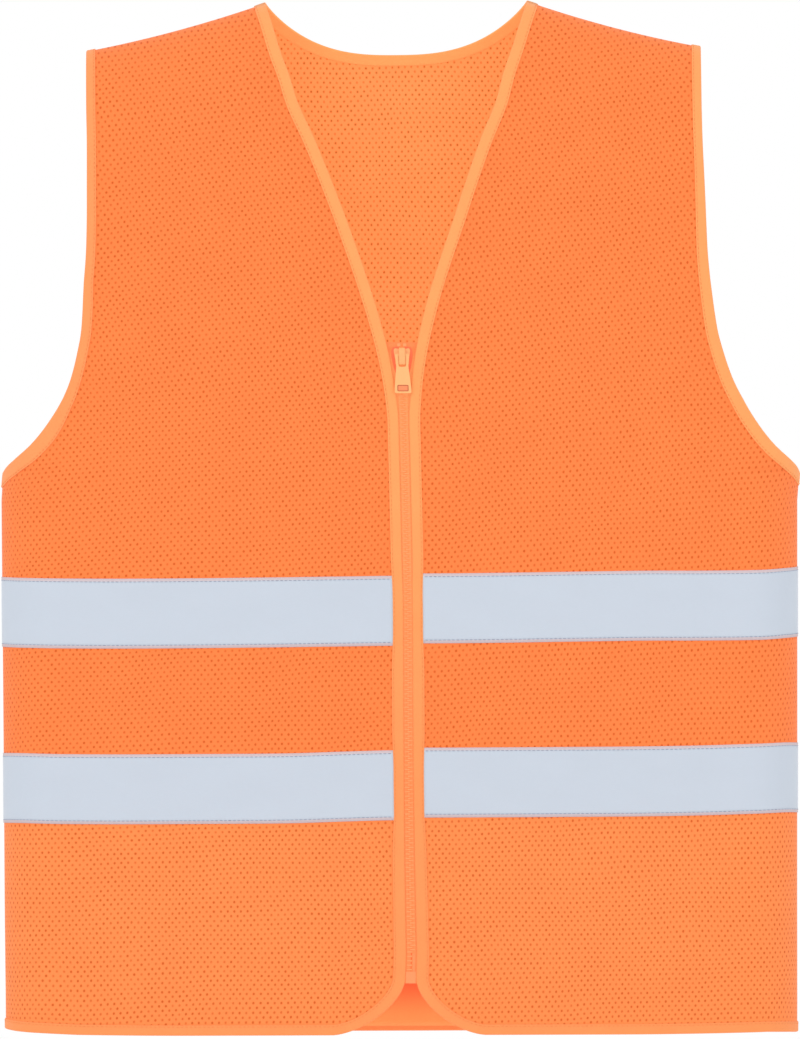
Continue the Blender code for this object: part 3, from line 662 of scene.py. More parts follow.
# Painted light: the binding cloth with a stronger glow, against the shade on the neck binding's inner
# leg.
NECK_BINDING = woven("neck_binding_weave_painted_light", rgb(262, 159, 91), 0.75, 0.42)
# Painted shade: the facing glows and turns dark red towards its top, between 0.734 and 0.702 m down,
# for the shade under the front.
FACING = woven("facing_weave", rgb(262, 146, 84), 0.90, 0.45,
               (1, -0.734, -0.702, rgb(262, 98, 58)))
# Painted light and shade: the zip tape glows, turns lighter between 0.55 and 0.36 m down, and darker
# again above 0.249 m down for the shade round the slider.
ZIP_WEAVE = woven("zip_tape_weave", rgb(262, 155, 92), 0.45, 0.50,
                  (1, -0.55, -0.36, rgb(262, 166, 100)), (1, -0.256, -0.249, rgb(262, 146, 84)),
                  thread=0.8)
SILVER = reflective()
ORANGE_THREAD = thread("orange_thread", rgb(255, 152, 86), 0.8, 0.12)
GREY_THREAD = thread("grey_thread", rgb(150, 158, 182))
# Painted light: the teeth and end parts glow against the shade between them; the end parts are a
# darker copy, painted shade.
TEETH = moulded("moulded_teeth", rgb(262, 162, 98), 0.45, 0.50, 0.45)
END_PARTS_PAINTED_SHADE = moulded("moulded_ends_painted_shade", rgb(262, 152, 91), 0.45, 0.50, 0.45)
# The slider and pull glow a little: painted light.
SLIDER = moulded("lacquered_slider", rgb(258, 178, 109), 0.70, 0.22, 0.38, 0.3)
# Painted shade: deep red-orange for the slider's wider lower plate, standing for the shade round the
# slider.
SHADED = moulded("slider_lower_plate_painted_shade", rgb(262, 113, 65), 0.55, 0.42, 0.55)
PULL = moulded("lacquered_pull", rgb(258, 186, 114), 0.75, 0.16, 0.34, 0.4)
# Painted shade: darker floor and walls for the pull's sunk panel.
PULL_PANEL_SHADE = moulded("pull_panel", rgb(250, 146, 92), 0.75, 0.20, 0.5)
PULL_RIM_SHADE = moulded("pull_panel_rim_shade", rgb(222, 104, 55), 0.60, 0.15, 0.5)


# ---- panels


def panel_depths(corner):
    """Fine rows: depth below the neck point and share of the shoulder's slope."""
    rows = [(SHOULDER_ROUND * (1 - math.cos(math.radians(a))), 1.0) for a in range(0, 90, 4)]
    fade_start, fade_end = SHOULDER_FADE[0][0], SHOULDER_FADE[-1][0]
    rows += [(d, smooth(SHOULDER_FADE, d)) for d in np.arange(fade_start, fade_end, ROW_STEP)]
    rows += [(d, 0.0) for d in np.arange(fade_end, UNDERARM, ARMHOLE_ROW_STEP)]
    rows += [(d, 0.0) for d in np.arange(UNDERARM, CORNER_TOP, ROW_STEP)]
    if corner:
        span = HEM_FRONT - CORNER_TOP
        rows += [(CORNER_TOP + span * math.sin(a), 0.0) for a in np.linspace(0, 1.5, 16)]
    else:
        rows += [(d, 0.0) for d in np.arange(CORNER_TOP, HEM_BACK - 2.0, ROW_STEP)]
    return rows


FLAT_SHARE = (half_width(-500.0) - DEPTH) / half_girth(-500.0)
TURNING = [FLAT_SHARE + (1.0 - FLAT_SHARE) * k / TURN_STEPS for k in range(TURN_STEPS + 1)]


def spread(inner, outer, count=44):
    flat = FLAT_SHARE * outer
    return [inner + (flat - inner) * k / count for k in range(count)] + [u * outer for u in TURNING]


def both_ways(half):
    """Columns from one side to the other, from those of the left half."""
    return [-s for s in half[:0:-1]] + half


def hem_line():
    return [(s, front_hem(s)) for s in spread(front_edge(HEM_FRONT), half_girth(-HEM_SIDE))]


def front_params(side):
    grid = []
    tops = spread(NECK_HALF + NECK_OVERRUN, SHOULDER_END)
    drop = ridge(SHOULDER_END)
    for depth, slope in panel_depths(True):
        row = spread(panel_edge(depth), outer_edge(depth - slope * drop))
        room = (HEM_FRONT - depth) * HEM_ROW_SHARE
        grid.append([(side * s, max(-depth + slope * ridge(t), front_hem(s) + room))
                     for s, t in zip(row, tops)])
    grid.append([(side * s, z) for s, z in hem_line()])
    return grid


def back_columns():
    neck = [math.sin(a) for a in np.linspace(0, math.pi / 2, 30)]
    share = NECK_HALF / SHOULDER_END
    middle = [share + (FLAT_SHARE - share) * k / 22 for k in range(1, 22)]
    return [n * share for n in neck] + middle + TURNING


def back_params():
    columns = back_columns()
    tops = []
    for u in columns:
        x = u * SHOULDER_END
        tops.append(back_neck(x) if x < NECK_HALF - 1e-6 else ridge(x))
    drop = ridge(SHOULDER_END)
    grid = []
    for depth, slope in panel_depths(False) + [(HEM_BACK, 0.0)]:
        outer = outer_edge(depth - slope * drop) if depth < HEM_BACK else half_girth(-HEM_SIDE)
        half = [(u * outer, -depth + slope * t) for u, t in zip(columns, tops)]
        grid.append([(-s, z) for s, z in half[:0:-1]] + half)
    return grid


def strip(columns, tops):
    """Grid of a tape from the depths of its upper edge."""
    return [[(s, -top - TAPE_HEIGHT * k / TAPE_STRIPS) for s, top in zip(columns, tops)]
            for k in range(TAPE_STRIPS + 1)]


def tape_params(side, inner_top, outer_top, sag):
    edge = half_girth(-outer_top) - TAPE_MARGIN
    columns = spread(TAPE_END, edge, TAPE_COLUMNS)
    tops = [inner_top + (outer_top - inner_top) * (s / edge) ** 2 + wave(sag, s) for s in columns]
    return strip([side * s for s in columns], tops)


def back_tape_params(right_top, left_top):
    edge = half_girth(-left_top) - TAPE_MARGIN
    line = both_ways(spread(0.0, edge, TAPE_COLUMNS))
    return strip(line, [right_top + (left_top - right_top) * (s + edge) / (2 * edge)
                        for s in line])


def tape_uv(obj, params):
    """Lay a tape's map out flat: along it, and from its lower edge."""
    rows, cols = len(params), len(params[0])
    flat = [(params[0][j][0] * MM, TAPE_HEIGHT * (1 - i / (rows - 1)) * MM)
            for i in range(rows) for j in range(cols)]
    flat = np.array(flat + flat)
    index = np.empty(len(obj.data.loops), int)
    obj.data.loops.foreach_get("vertex_index", index)
    obj.data.uv_layers["UVMap"].data.foreach_set("uv", flat[index].ravel())


# ---- bindings


def binding_section():
    """Folded binding round an edge: (into the cloth, off its inner face)."""
    low, high, t, w = BINDING_LOW, BINDING_HIGH, BINDING_THICK, BINDING_WIDTH
    middle = (low + high) / 2
    half = (high - low) / 2 + t
    outside = []
    for a in np.linspace(math.pi / 2, 3 * math.pi / 2, 9):
        outside.append((-0.35 + 0.75 * math.cos(a), middle + half * math.sin(a)))
    outer_leg = [(w, high + 0.12), (w - 0.25, high + t * 0.8), (w - 0.9, high + t),
                 (w * 0.5, high + t * 1.08), (1.2, high + t)]
    inner_leg = [(a, 2 * middle - b) for a, b in outer_leg[::-1]]
    inside = [(w - 0.1, low), (w * 0.5, low), (-0.2, low), (-0.2, high), (w * 0.5, high),
              (w - 0.1, high)]
    return outer_leg + outside + inner_leg + inside


SECTION = binding_section()
SECTION_GIRTH = [0.0]
for _a, _b in zip(SECTION, SECTION[1:]):
    SECTION_GIRTH.append(SECTION_GIRTH[-1] + math.hypot(_b[0] - _a[0], _b[1] - _a[1]))


def section_ring(s, z, face, across, size):
    inset, width = size
    ring = []
    for a, b in SECTION:
        a = inset + (a if a <= 0.0 else a * (width - inset) / BINDING_WIDTH)
        p, n = cloth(s + a * across[0], z + a * across[1], face)
        ring.append(p + b * n)
    return ring


def even_path(points, spacing):
    """Points spaced evenly along a polyline."""
    pts = np.array(points, float)
    steps = np.r_[0, np.cumsum(np.linalg.norm(np.diff(pts, axis=0), axis=1))]
    count = max(2, int(round(steps[-1] / spacing)) + 1)
    at = np.linspace(0, steps[-1], count)
    return np.stack([np.interp(at, steps, pts[:, k]) for k in range(pts.shape[1])], 1)


def turned(path, i):
    """Unit vector across a path, to the left of its direction of travel."""
    before, after = path[max(i - 1, 0)], path[min(i + 1, len(path) - 1)]
    ds, dz = after[0] - before[0], after[1] - before[1]
    size = math.hypot(ds, dz)
    return (-dz / size, ds / size)


def shoulder_way():
    """Direction along the shoulder, away from the neck."""
    size = math.hypot(1.0, SHOULDER_SLOPE)
    return (1.0 / size, -SHOULDER_SLOPE / size)


def edge_stations(path, side, face, start, end, settle):
    """(s, z, face, across) along a path, its first and last directions eased to those given."""
    out = []
    count = len(path)
    for i, (s, z) in enumerate(path):
        way = np.array(turned(path, i))
        if i < settle:
            way = way * (i / settle) + np.array(start) * (1 - i / settle)
        if i > count - 1 - settle:
            k = (count - 1 - i) / settle
            way = way * k + np.array(end) * (1 - k)
        way = way / np.linalg.norm(way)
        out.append((side * s, z, face, (side * way[0], way[1])))
    return out


def front_size(depth):
    """Inset and width of the front binding."""
    return tuple(float(np.interp(depth, *zip(*rows)))
                 for rows in (FRONT_BINDING_INSET, FRONT_BINDING_WIDTH))


def armhole_size(side, depth):
    """Inset and width of an armhole's binding."""
    return (ARMHOLE_BINDING_INSET, float(np.interp(depth, *zip(*ARMHOLE_BINDING_WIDTH[side]))))


def binding_piece(name, stations, sizes, material, closed=False, flip=False):
    rings = [section_ring(*station, size) for station, size in zip(stations, sizes)]
    length = [0.0]
    for a, b in zip(rings, rings[1:]):
        length.append(length[-1] + float(np.linalg.norm(np.array(a[0]) - np.array(b[0]))))
    uvs = [(along * MM, round_it * MM) for along in length for round_it in SECTION_GIRTH]
    return tube(name, rings, (material,), uvs, closed, flip)


def front_edge_path():
    """From the neck point down the V, the front edge and the corner, then along the hem."""
    steep = [(front_edge(d), -d) for d, _ in panel_depths(True)]
    steep[0] = (NECK_HALF + NECK_OVERRUN, 0.0)
    return even_path(steep + hem_line(), STATION_GAP)


def faded(z, span):
    """Share of the way down between two depths."""
    return ease((-z - span[0]) / (span[1] - span[0]))


def armhole_stations(side):
    """Down the front of an armhole and back up behind it."""
    drop = ridge(SHOULDER_END)
    down = np.r_[[d - drop for d, k in panel_depths(False) if k == 1.0],
                 np.arange(ARMHOLE_SIDE_TOP, ARMHOLE_CURVE_TOP, 4.0)]
    path = [(outer_edge(d), -d) for d in down]
    curve = [(outer_edge(d), -d) for d in np.arange(ARMHOLE_CURVE_TOP, UNDERARM + 0.01, 0.5)]
    path = path + [tuple(p) for p in even_path(curve, STATION_GAP)]
    rise = SHOULDER_SLOPE - 2 * SHOULDER_DISH * (SHOULDER_END - NECK_HALF)
    half = []
    for i, (s, z) in enumerate(path):
        level = np.array((-1.0, (1.0 - faded(z, SLOPE_FADE)) * rise))
        ds, dz = turned(path, i)
        square = np.array((-ds, -dz))
        if i == len(path) - 1:
            square = np.array((0.0, -1.0))
        mix = faded(z, SQUARE_FADE)
        way = level * (1 - mix) + square * mix
        way = way / np.linalg.norm(way)
        half.append((side * s, z, (side * way[0], way[1])))
    front = [(s, z, -1, way) for s, z, way in half]
    back = [(s, z, 1, way) for s, z, way in half[::-1]]
    return front + back[1:-1]


def neck_stations():
    """Round the back of the neck from one neck point to the other."""
    right = [(NECK_HALF * math.cos(a), 0.0) for a in np.linspace(0, math.pi / 2, 40)]
    half = [(x, back_neck(x)) for x, _ in right]
    path = half + [(-x, z) for x, z in half[-2::-1]]
    path[0] = (NECK_HALF + NECK_OVERRUN, 0.0)
    path[-1] = (-NECK_HALF - NECK_OVERRUN, 0.0)
    way = shoulder_way()
    return edge_stations(path, 1.0, 1, way, (-way[0], way[1]), 9)


def hem_stations():
    outer = half_girth(-HEM_SIDE)
    line = np.linspace(-outer, outer, HEM_STATIONS)
    return [(s, -HEM_BACK, 1, (0.0, 1.0)) for s in line]


# ---- stitches


def stitch_row(name, places, material, pitch=3.2, length=2.35, radius=0.19):
    """Separate thread stitches over a line of (point, normal) places."""
    line = np.array([p for p, _ in places])
    normals = np.array([n for _, n in places])
    steps = np.r_[0, np.cumsum(np.linalg.norm(np.diff(line, axis=0), axis=1))]
    points, faces, uvs = [], [], []
    arch = (-0.10, 0.13, 0.19, 0.13, -0.10)
    thin = (0.55, 1.0, 1.05, 1.0, 0.55)
    count = int((steps[-1] - length) / pitch)
    sides = 6
    for k in range(count):
        start = (steps[-1] - count * pitch) / 2 + k * pitch
        base = len(points)
        at = start + np.linspace(0, length, 5)
        mid = [np.array([np.interp(a, steps, line[:, c]) for c in range(3)]) for a in at]
        up = np.array([np.interp(at[2], steps, normals[:, c]) for c in range(3)])
        up = up / np.linalg.norm(up)
        ahead = (mid[4] - mid[0]) / np.linalg.norm(mid[4] - mid[0])
        over = np.cross(ahead, up)
        for i in range(5):
            for j in range(sides):
                angle = 2 * math.pi * j / sides
                r = radius * thin[i]
                points.append(mid[i] + up * (arch[i] + r * math.cos(angle))
                              + over * r * math.sin(angle))
                uvs.append((at[i] * MM, j / sides))
        faces += tube_faces(base, 5, sides)
    return new_object(name, points, faces, uvs, (material,))


def places_on(params, height):
    """Points and normals at a height off the cloth along (s, z, face) params."""
    out = []
    for s, z, face in params:
        p, n = cloth(s, z, face)
        out.append((p + height * n, n))
    return out


def binding_places(stations, sizes, height, in_from_edge=1.3):
    """The line along the inner edge of a binding that its stitches follow."""
    places = []
    for (s, z, face, way), (_, width) in zip(stations, sizes):
        inward = width - in_from_edge
        places.append((s + inward * way[0], z + inward * way[1], face))
    return places_on(places, height)


# ---- attach


def bend(obj):
    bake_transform(obj)


def fit(obj, body, slot, *nodes):
    """Let a piece ride a body and stand for its CAD nodes; slot is not used."""
    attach(obj, body)
    if nodes:
        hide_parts(*nodes)


def build_panels():
    # The inner face takes the lighter, glowing copy of the mesh: painted light.
    back = thick_sheet("back_cloth", back_params(), 1, 0.0, CLOTH_THICK, (OUTSIDE, INSIDE_PAINTED_LIGHT), False)
    fit(back, "garment", "orange_mesh", "back_panel")
    for side, word in SIDES:
        front = thick_sheet(f"front_cloth_{word}", front_params(side), -1, 0.0, CLOTH_THICK,
                            (OUTSIDE, INSIDE_PAINTED_LIGHT), side < 0)
        bend(front)
        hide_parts(f"front_panel_{word}_side", f"front_panel_{word}_flap")


def build_facing():
    """Plain strip inside the back hem, over the binding's inner leg."""
    line = both_ways(spread(0.0, half_girth(-HEM_SIDE), 60)[:-4])
    grid = [[(s, -d) for s in line] for d in np.linspace(FACING_TOP, FACING_BOTTOM, 22)]
    low = BINDING_LOW - BINDING_THICK - 0.15
    facing = thick_sheet("hem_facing", grid, 1, low - 0.35, low, (FACING, FACING), False)
    fit(facing, "garment", "orange_mesh", "hem_facing_back")


def build_tapes():
    for level, tops in (("upper", UPPER_TAPE), ("lower", LOWER_TAPE)):
        back_grid = back_tape_params(tops[0], tops[3])
        back = thick_sheet(f"{level}_reflective_back", back_grid, 1, TAPE_LIFT,
                           TAPE_LIFT + TAPE_THICK, (SILVER, SILVER), False)
        tape_uv(back, back_grid)
        fit(back, "garment", "reflective_tape", f"{level}_tape_back")
        tape_stitches(f"{level}_tape_stitches_back", back_grid, 1, None)
        for side, word in SIDES:
            inner, outer = (tops[2], tops[3]) if side > 0 else (tops[1], tops[0])
            grid = tape_params(side, inner, outer, TAPE_SAG[side, level])
            tape = thick_sheet(f"{level}_reflective_{word}", grid, -1, TAPE_LIFT,
                               TAPE_LIFT + TAPE_THICK, (SILVER, SILVER), side < 0)
            tape_uv(tape, grid)
            bend(tape)
            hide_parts(f"{level}_tape_{word}_side", f"{level}_tape_{word}_flap")
            tape_stitches(f"{level}_tape_stitches_{word}", grid, -1, side)


def tape_stitches(name, grid, face, side):
    for word, row, shift in (("top", grid[0], -2.3), ("bottom", grid[-1], 2.3)):
        line = [(s, z + shift, face) for s, z in row]
        obj = stitch_row(f"{name}_{word}", places_on(line, TAPE_LIFT + TAPE_THICK), GREY_THREAD)
        if side is None:
            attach(obj, "garment")
        else:
            bend(obj)


def build_binding(name, node, stations, sizes, material, closed=False, flip=False):
    """A binding and the row of stitches that holds it; returns both."""
    piece = binding_piece(name, stations, sizes, material, closed, flip)
    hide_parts(*node)
    line = binding_places(stations, sizes, BINDING_HIGH + BINDING_THICK)
    if closed:
        line = line + line[:1]
    seam = stitch_row(f"{name}_stitches", line, ORANGE_THREAD)
    return piece, seam


def build_bindings():
    neck = neck_stations()
    hem = hem_stations()
    # Painted light: the neck binding glows more, against the shade on its inner leg.
    fixed = list(build_binding("neck_edge", ["neck_binding"], neck, [NECK_BINDING_SIZE] * len(neck),
                               NECK_BINDING))
    fixed += build_binding("back_hem_edge", ["hem_binding_back"], hem, [HEM_BINDING] * len(hem),
                           BINDING, flip=True)
    for side, word in SIDES:
        stations = edge_stations(front_edge_path(), side, -1, shoulder_way(), (0.0, 1.0), 8)
        sizes = [front_size(-z) for _, z, _, _ in stations]
        nodes = [f"front_binding_{word}", f"hem_binding_{word}"]
        for piece in build_binding(f"front_edge_{word}", nodes, stations, sizes, FRONT_BINDING,
                                   flip=side < 0):
            bend(piece)
        stations = armhole_stations(side)
        sizes = [armhole_size(side, -z) for _, z, _, _ in stations]
        # Painted light: the left armhole takes the lighter copy of the binding cloth.
        fixed += build_binding(f"armhole_edge_{word}", [f"armhole_binding_{word}"], stations,
                               sizes, BINDING if side < 0 else FRONT_BINDING, True, side < 0)
    for piece in fixed:
        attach(piece, "garment")


# ---- zip


def zip_point(x, y, z):
    return np.array((x + lean(x, z), y, z))


def tooth_rings(side, z):
    """Rounded sections of one moulded tooth, from its root on the tape to its head."""
    stations = ((3.45, 0.50, 0.85), (3.2, 0.66, 1.12), (2.2, 0.64, 1.2), (1.3, 0.46, 1.16),
                (0.5, 0.58, 1.18), (-0.3, 0.66, 1.12), (-0.75, 0.5, 0.92), (-0.95, 0.26, 0.6))
    rings = []
    for x, half_z, half_y in stations:
        ring = []
        for k in range(12):
            a = 2 * math.pi * k / 12
            c, s = math.cos(a), math.sin(a)
            dz = half_z * math.copysign(abs(c) ** 0.55, c)
            dy = half_y * math.copysign(abs(s) ** 0.55, s)
            ring.append(zip_point(side * x, ZIP_Y + dy, z + dz))
        rings.append(ring)
    return rings


def build_teeth(side, word, bottom, phase):
    points, faces = [], []
    z = -CHAIN_TOP - phase - TOOTH_HALF
    while z - TOOTH_HALF > -bottom:
        rings = tooth_rings(side, z)
        faces += tube_faces(len(points), len(rings), len(rings[0]))
        points += [p for ring in rings for p in ring]
        z -= TOOTH_PITCH
    if side > 0:
        faces = [f[::-1] for f in faces]
    teeth = new_object(f"teeth_{word}", points, faces, face_on(points), (TEETH,))
    fit(teeth, f"flap_{word}", "orange_plastic", f"zip_teeth_{word}")


def build_zip_tape(side, word):
    """Woven tape with a corded edge that the teeth sit on."""
    across = ((0.25, 0.0), (0.35, 0.3), (1.9, 0.32), (2.2, 0.62), (2.8, 0.8), (3.4, 0.62),
              (3.7, 0.3), (7.0, 0.25), (12.6, 0.25), (13.0, 0.0))
    outline = list(across) + [(x, -h) for x, h in across[-2:0:-1]]
    rings, uvs = [], []
    girth = np.r_[0, np.cumsum([math.hypot(b[0] - a[0], b[1] - a[1])
                                for a, b in zip(outline, outline[1:])])]
    for z in np.linspace(-ZIP_TOP, -BOX_BOTTOM, 156):
        rings.append([zip_point(side * x, ZIP_Y - h, z) for x, h in outline])
        uvs += [(r * MM, z * MM) for r in girth]
    tape = tube(f"zip_cloth_{word}", rings, (ZIP_WEAVE,), uvs, flip=side < 0)
    fit(tape, f"flap_{word}", "orange_binding", f"zip_tape_{word}")
    for k, x in enumerate(ZIP_SEAMS):
        line = [(zip_point(side * x, ZIP_Y - 0.25, z), np.array((0.0, -1.0, 0.0)))
                for z in np.linspace(-ZIP_TOP - 2, -BOX_BOTTOM + 2, 60)]
        seam = stitch_row(f"zip_stitches_{word}_{k}", line, ORANGE_THREAD, radius=0.12)
        fit(seam, f"flap_{word}", "orange_binding")


def plate(name, outline, y_front, y_back, material):
    """Flat plate from an outline of (x, z), seen from the front."""
    n = len(outline)
    points = [zip_point(x, y_front, z) for x, z in outline]
    points += [zip_point(x, y_back, z) for x, z in outline]
    faces = [tuple(range(n)), tuple(range(2 * n - 1, n - 1, -1))]
    faces += [(i, i + n, (i + 1) % n + n, (i + 1) % n) for i in range(n)]
    return new_object(name, points, faces, face_on(points), (material,))


def soften(obj, width, segments=3):
    mod = obj.modifiers.new("edges", "BEVEL")
    mod.width = width * MM
    mod.segments = segments
    mod.limit_method = "ANGLE"
    mod.angle_limit = math.radians(35)
    mod.harden_normals = True


def apply_modifiers(obj):
    graph = bpy.context.evaluated_depsgraph_get()
    mesh = bpy.data.meshes.new_from_object(obj.evaluated_get(graph))
    obj.modifiers.clear()
    obj.data = mesh


def cut(obj, cutter, operation="DIFFERENCE"):
    mod = obj.modifiers.new("cut", "BOOLEAN")
    mod.operation = operation
    mod.object = cutter
    mod.solver = "EXACT"
    apply_modifiers(obj)
    bpy.data.objects.remove(cutter, do_unlink=True)


def rounded(name, outline, y_front, y_back, material, bevel):
    obj = plate(name, outline, y_front, y_back, material)
    soften(obj, bevel)
    return obj


def arc(cx, cz, r, a0, a1, count=6):
    return [(cx + r * math.cos(a), cz + r * math.sin(a))
            for a in np.radians(np.linspace(a0, a1, count))]


def mirrored(half):
    """Closed outline from its right half, listed from the bottom up."""
    return half + [(-x, z) for x, z in half[::-1] if abs(x) > 1e-6]


def build_slider():
    z = -SLIDER_Z
    half = arc(4.0, z - 5.3, 0.9, -90, 0) + [(4.95, z - 1.4), (5.6, z + 1.2)]
    half += arc(4.3, z + 4.0, 1.6, -20, 80, 8) + [(2.6, z + 5.2), (1.2, z + 4.9)]
    outline = mirrored(half)
    body = plate("slider_body", outline, ZIP_Y - 2.6, ZIP_Y - 1.6, SLIDER)
    cut(body, plate("back_plate", outline, ZIP_Y + 1.6, ZIP_Y + 2.6, SLIDER), "UNION")
    wedge = [(-0.9, z + 5.6), (-0.5, z + 1.6), (0.5, z + 1.6), (0.9, z + 5.6)]
    cut(body, plate("wedge", wedge, ZIP_Y - 1.8, ZIP_Y + 1.8, SLIDER), "UNION")
    # Painted shade: a lower plate wider than the slider, in deep red-orange, stands for the shade
    # round its edges.
    lower = mirrored([(5.0, z - 12.0), (6.2, z - 8.0), (7.0, z - 4.0), (7.7, z),
                      (7.6, z + 3.6), (6.6, z + 6.2), (3.6, z + 6.9)])
    lower = plate("slider_lower_plate_painted_shade", lower, ZIP_Y - 1.75, ZIP_Y - 0.95, SHADED)
    throat = mirrored([(3.8, z - 14.0), (3.8, z + 0.5), (0.9, z + 8.0)])
    cut(lower, plate("throat", throat, ZIP_Y - 3.0, ZIP_Y + 3.0, SHADED))
    soften(lower, 0.3)
    fit(lower, "slider", "orange_plastic")
    for side in (-1, 1):
        x0, x1 = sorted((side * 4.0, side * 4.75))
        rail = [(x0, z - 5.0), (x1, z - 5.0), (x1, z + 3.0), (x0, z + 3.0)]
        cut(body, plate("rail", rail, ZIP_Y - 1.8, ZIP_Y - 0.75, SLIDER), "UNION")
        cut(body, plate("rail", rail, ZIP_Y + 0.75, ZIP_Y + 1.8, SLIDER), "UNION")
    soften(body, 0.22)
    fit(body, "slider", "orange_plastic", "zip_slider")
    build_bridge()


def build_bridge():
    """Arch over the slider, crowned across its width."""
    front = ZIP_Y - 2.6
    outer = [(front, -260.9), (-42.6, -260.9), (-44.2, -260.3), (-44.9, -259.2), (-45.1, -257.0),
             (-45.1, -252.0), (-44.95, -249.8), (-44.3, -248.6), (-42.9, -248.2), (front, -248.2)]
    inner = [(front, -249.8), (-43.6, -249.8), (-44.1, -250.4), (-44.1, -258.3), (-43.6, -258.9),
             (front, -258.9)]
    profile = outer + inner
    rings = []
    for x, shrink in ((2.25, 0.35), (1.9, 0.0), (-1.9, 0.0), (-2.25, 0.35)):
        ring = []
        for y, z in profile:
            lifted = y + shrink if (y, z) in outer and y < front - 1 else y
            ring.append(zip_point(x, lifted, z))
        rings.append(ring)
    uvs = face_on([p for ring in rings for p in ring])
    bridge = tube("bridge", rings, (SLIDER,), uvs)
    soften(bridge, 0.12, 2)
    fit(bridge, "slider", "orange_plastic", "slider_bridge")


def build_pull():
    """Tapered tab with a slot round the bridge and a sunk panel near its end."""
    half = arc(4.9, -279.9, 1.15, -90, 0) + [(5.95, -277.0), (5.35, -271.0), (4.65, -265.0),
                                             (4.4, -261.8), (4.6, -258.5), (5.1, -255.6)]
    half += arc(4.0, -253.8, 1.15, 10, 90)
    outline = mirrored(half)
    tab = plate("pull_tab", outline, PIVOT_Y - 0.7, PIVOT_Y + 0.7, PULL)
    slot = mirrored(arc(1.6, -260.9, 1.1, -90, 0, 5) + [(2.7, -254.1)])
    cut(tab, plate("slot", slot, PIVOT_Y - 2.0, PIVOT_Y + 2.0, PULL))
    low = arc(3.2, -278.9, 0.8, -90, 0, 5)
    panel = mirrored(low + arc(3.2, -275.9, 0.8, 0, 90, 5))
    cut(tab, plate("panel", panel, PIVOT_Y - 2.0, PIVOT_Y - 0.2, PULL))
    panel = mirrored([(3.45, -279.15), (3.45, -275.65)])
    cut(tab, plate("panel_floor", panel, PIVOT_Y - 2.0, PIVOT_Y + 0.1, PULL))
    soften(tab, 0.2)
    apply_modifiers(tab)
    tab.data.materials.append(PULL_PANEL_SHADE)
    tab.data.materials.append(PULL_RIM_SHADE)
    # Painted shade: the sunk panel's floor and walls take the darker materials.
    for face in tab.data.polygons:
        x, y, z = np.array(face.center) / MM
        inside = abs(x - lean(0.0, z)) < 4.3 and -280.0 < z < -274.8
        if inside and PIVOT_Y - 0.55 < y < PIVOT_Y + 0.3:
            face.material_index = 1 if y > PIVOT_Y - 0.1 else 2
    fit(tab, "pull", "orange_pull", "zip_pull")


def build_zip_ends():
    for side, word in SIDES:
        x0, x1 = sorted((side * 0.8, side * 3.3))
        stop = rounded(f"top_stop_{word}", [(x0, -247.8), (x1, -247.8), (x1, -245.2), (x0, -245.2)],
                       ZIP_Y - 1.2, ZIP_Y + 1.2, TEETH, 0.4)
        fit(stop, f"flap_{word}", "orange_plastic", f"zip_top_stop_{word}")
    b = 3.75
    box = plate("zip_end_box", [(-b, -BOX_BOTTOM), (b, -BOX_BOTTOM), (b, -BOX_TOP), (-b, -BOX_TOP)],
                ZIP_Y - 2.0, ZIP_Y + 2.0, END_PARTS_PAINTED_SHADE)
    bore = [(0.9, -BOX_BOTTOM + 1.0), (3.1, -BOX_BOTTOM + 1.0), (3.1, -690.0), (0.9, -690.0)]
    cut(box, plate("bore", bore, ZIP_Y - 1.1, ZIP_Y + 1.1, END_PARTS_PAINTED_SHADE))
    soften(box, 0.35)
    fit(box, "flap_right", "orange_plastic", "zip_box")
    pin = rounded("zip_end_pin", [(1.2, -704.3), (2.8, -704.3), (2.8, -684.3), (1.2, -684.3)],
                  ZIP_Y - 0.8, ZIP_Y + 0.8, END_PARTS_PAINTED_SHADE, 0.35)
    fit(pin, "flap_left", "orange_plastic", "zip_pin")


def build_zip():
    for side, word, bottom, phase in ((1.0, "left", PIN_TOP, 1.7), (-1.0, "right", CHAIN_BOTTOM, 0.1)):
        build_zip_tape(side, word)
        build_teeth(side, word, bottom, phase)
    build_zip_ends()
    build_slider()
    build_pull()


# ---- studio


CAMERA_DISTANCE = 20.0
CAMERA_HEIGHT = -0.3719
VIEW_HEIGHT = 0.7481
SENSOR_HEIGHT = 24.0
FLOOR_HALF = 4000
FLOOR_LEVEL = -1000


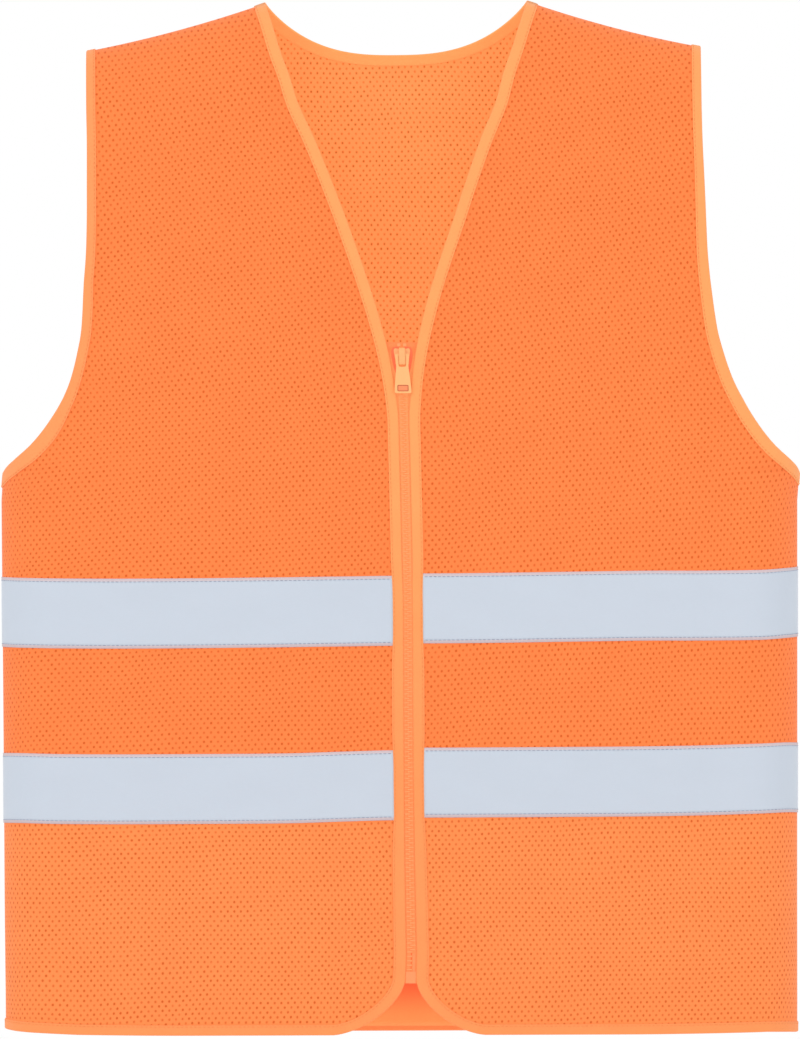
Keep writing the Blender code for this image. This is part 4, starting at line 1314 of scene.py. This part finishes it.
def pale(name, value):
    g = Shade(name)
    place = g.node("TexCoord").outputs["Object"]
    dimmer = value * 0.99
    g.put(g.shader.inputs["Base Color"],
          g.mix(g.noise(place, 3.0), (value, value, value, 1.0), (dimmer, dimmer, dimmer, 1.0)))
    g.set(Roughness=0.9, Specular_IOR_Level=0.1)
    return g.mat


def area_light(name, place, target, size, power):
    data = bpy.data.lights.new(name, "AREA")
    data.shape = "RECTANGLE"
    data.size, data.size_y = size
    data.energy = power
    light = bpy.data.objects.new(name, data)
    light.location = place
    aim = Vector(target) - Vector(place)
    light.rotation_euler = aim.to_track_quat("-Z", "Y").to_euler()
    bpy.context.scene.collection.objects.link(light)


def build_studio():
    corners = [(0, 0), (1, 0), (1, 1), (0, 1)]
    points = [((2 * u - 1) * FLOOR_HALF, (2 * v - 1) * FLOOR_HALF, FLOOR_LEVEL)
              for u, v in corners]
    floor = new_object("floor", points, [(0, 1, 2, 3)], corners, (pale("floor", 0.93),))
    world = bpy.data.worlds.new("studio")
    bpy.context.scene.world = world
    world.use_nodes = True
    background = world.node_tree.nodes["Background"]
    background.inputs["Color"].default_value = (1.0, 1.0, 1.0, 1.0)
    background.inputs["Strength"].default_value = 1.0
    middle = (0.0, 0.0, -0.37)
    area_light("key", (-1.6, -2.4, 1.3), middle, (1.6, 1.6), 16.0)
    area_light("fill", (2.0, -2.2, 0.2), middle, (1.6, 1.6), 6.0)
    view = bpy.context.scene.view_settings
    view.view_transform = "Standard"
    view.look = "None"
    camera_data = bpy.data.cameras.new("camera")
    camera_data.sensor_fit = "VERTICAL"
    camera_data.sensor_height = SENSOR_HEIGHT
    camera_data.lens = SENSOR_HEIGHT * CAMERA_DISTANCE / VIEW_HEIGHT
    camera_data.clip_end = 100.0
    camera = bpy.data.objects.new("camera", camera_data)
    camera.location = (0.0, -CAMERA_DISTANCE - 0.02, CAMERA_HEIGHT)
    camera.rotation_euler = (math.pi / 2, 0.0, 0.0)
    bpy.context.scene.collection.objects.link(camera)
    bpy.context.scene.camera = camera


build_panels()
build_facing()
build_tapes()
build_bindings()
build_zip()
build_studio()
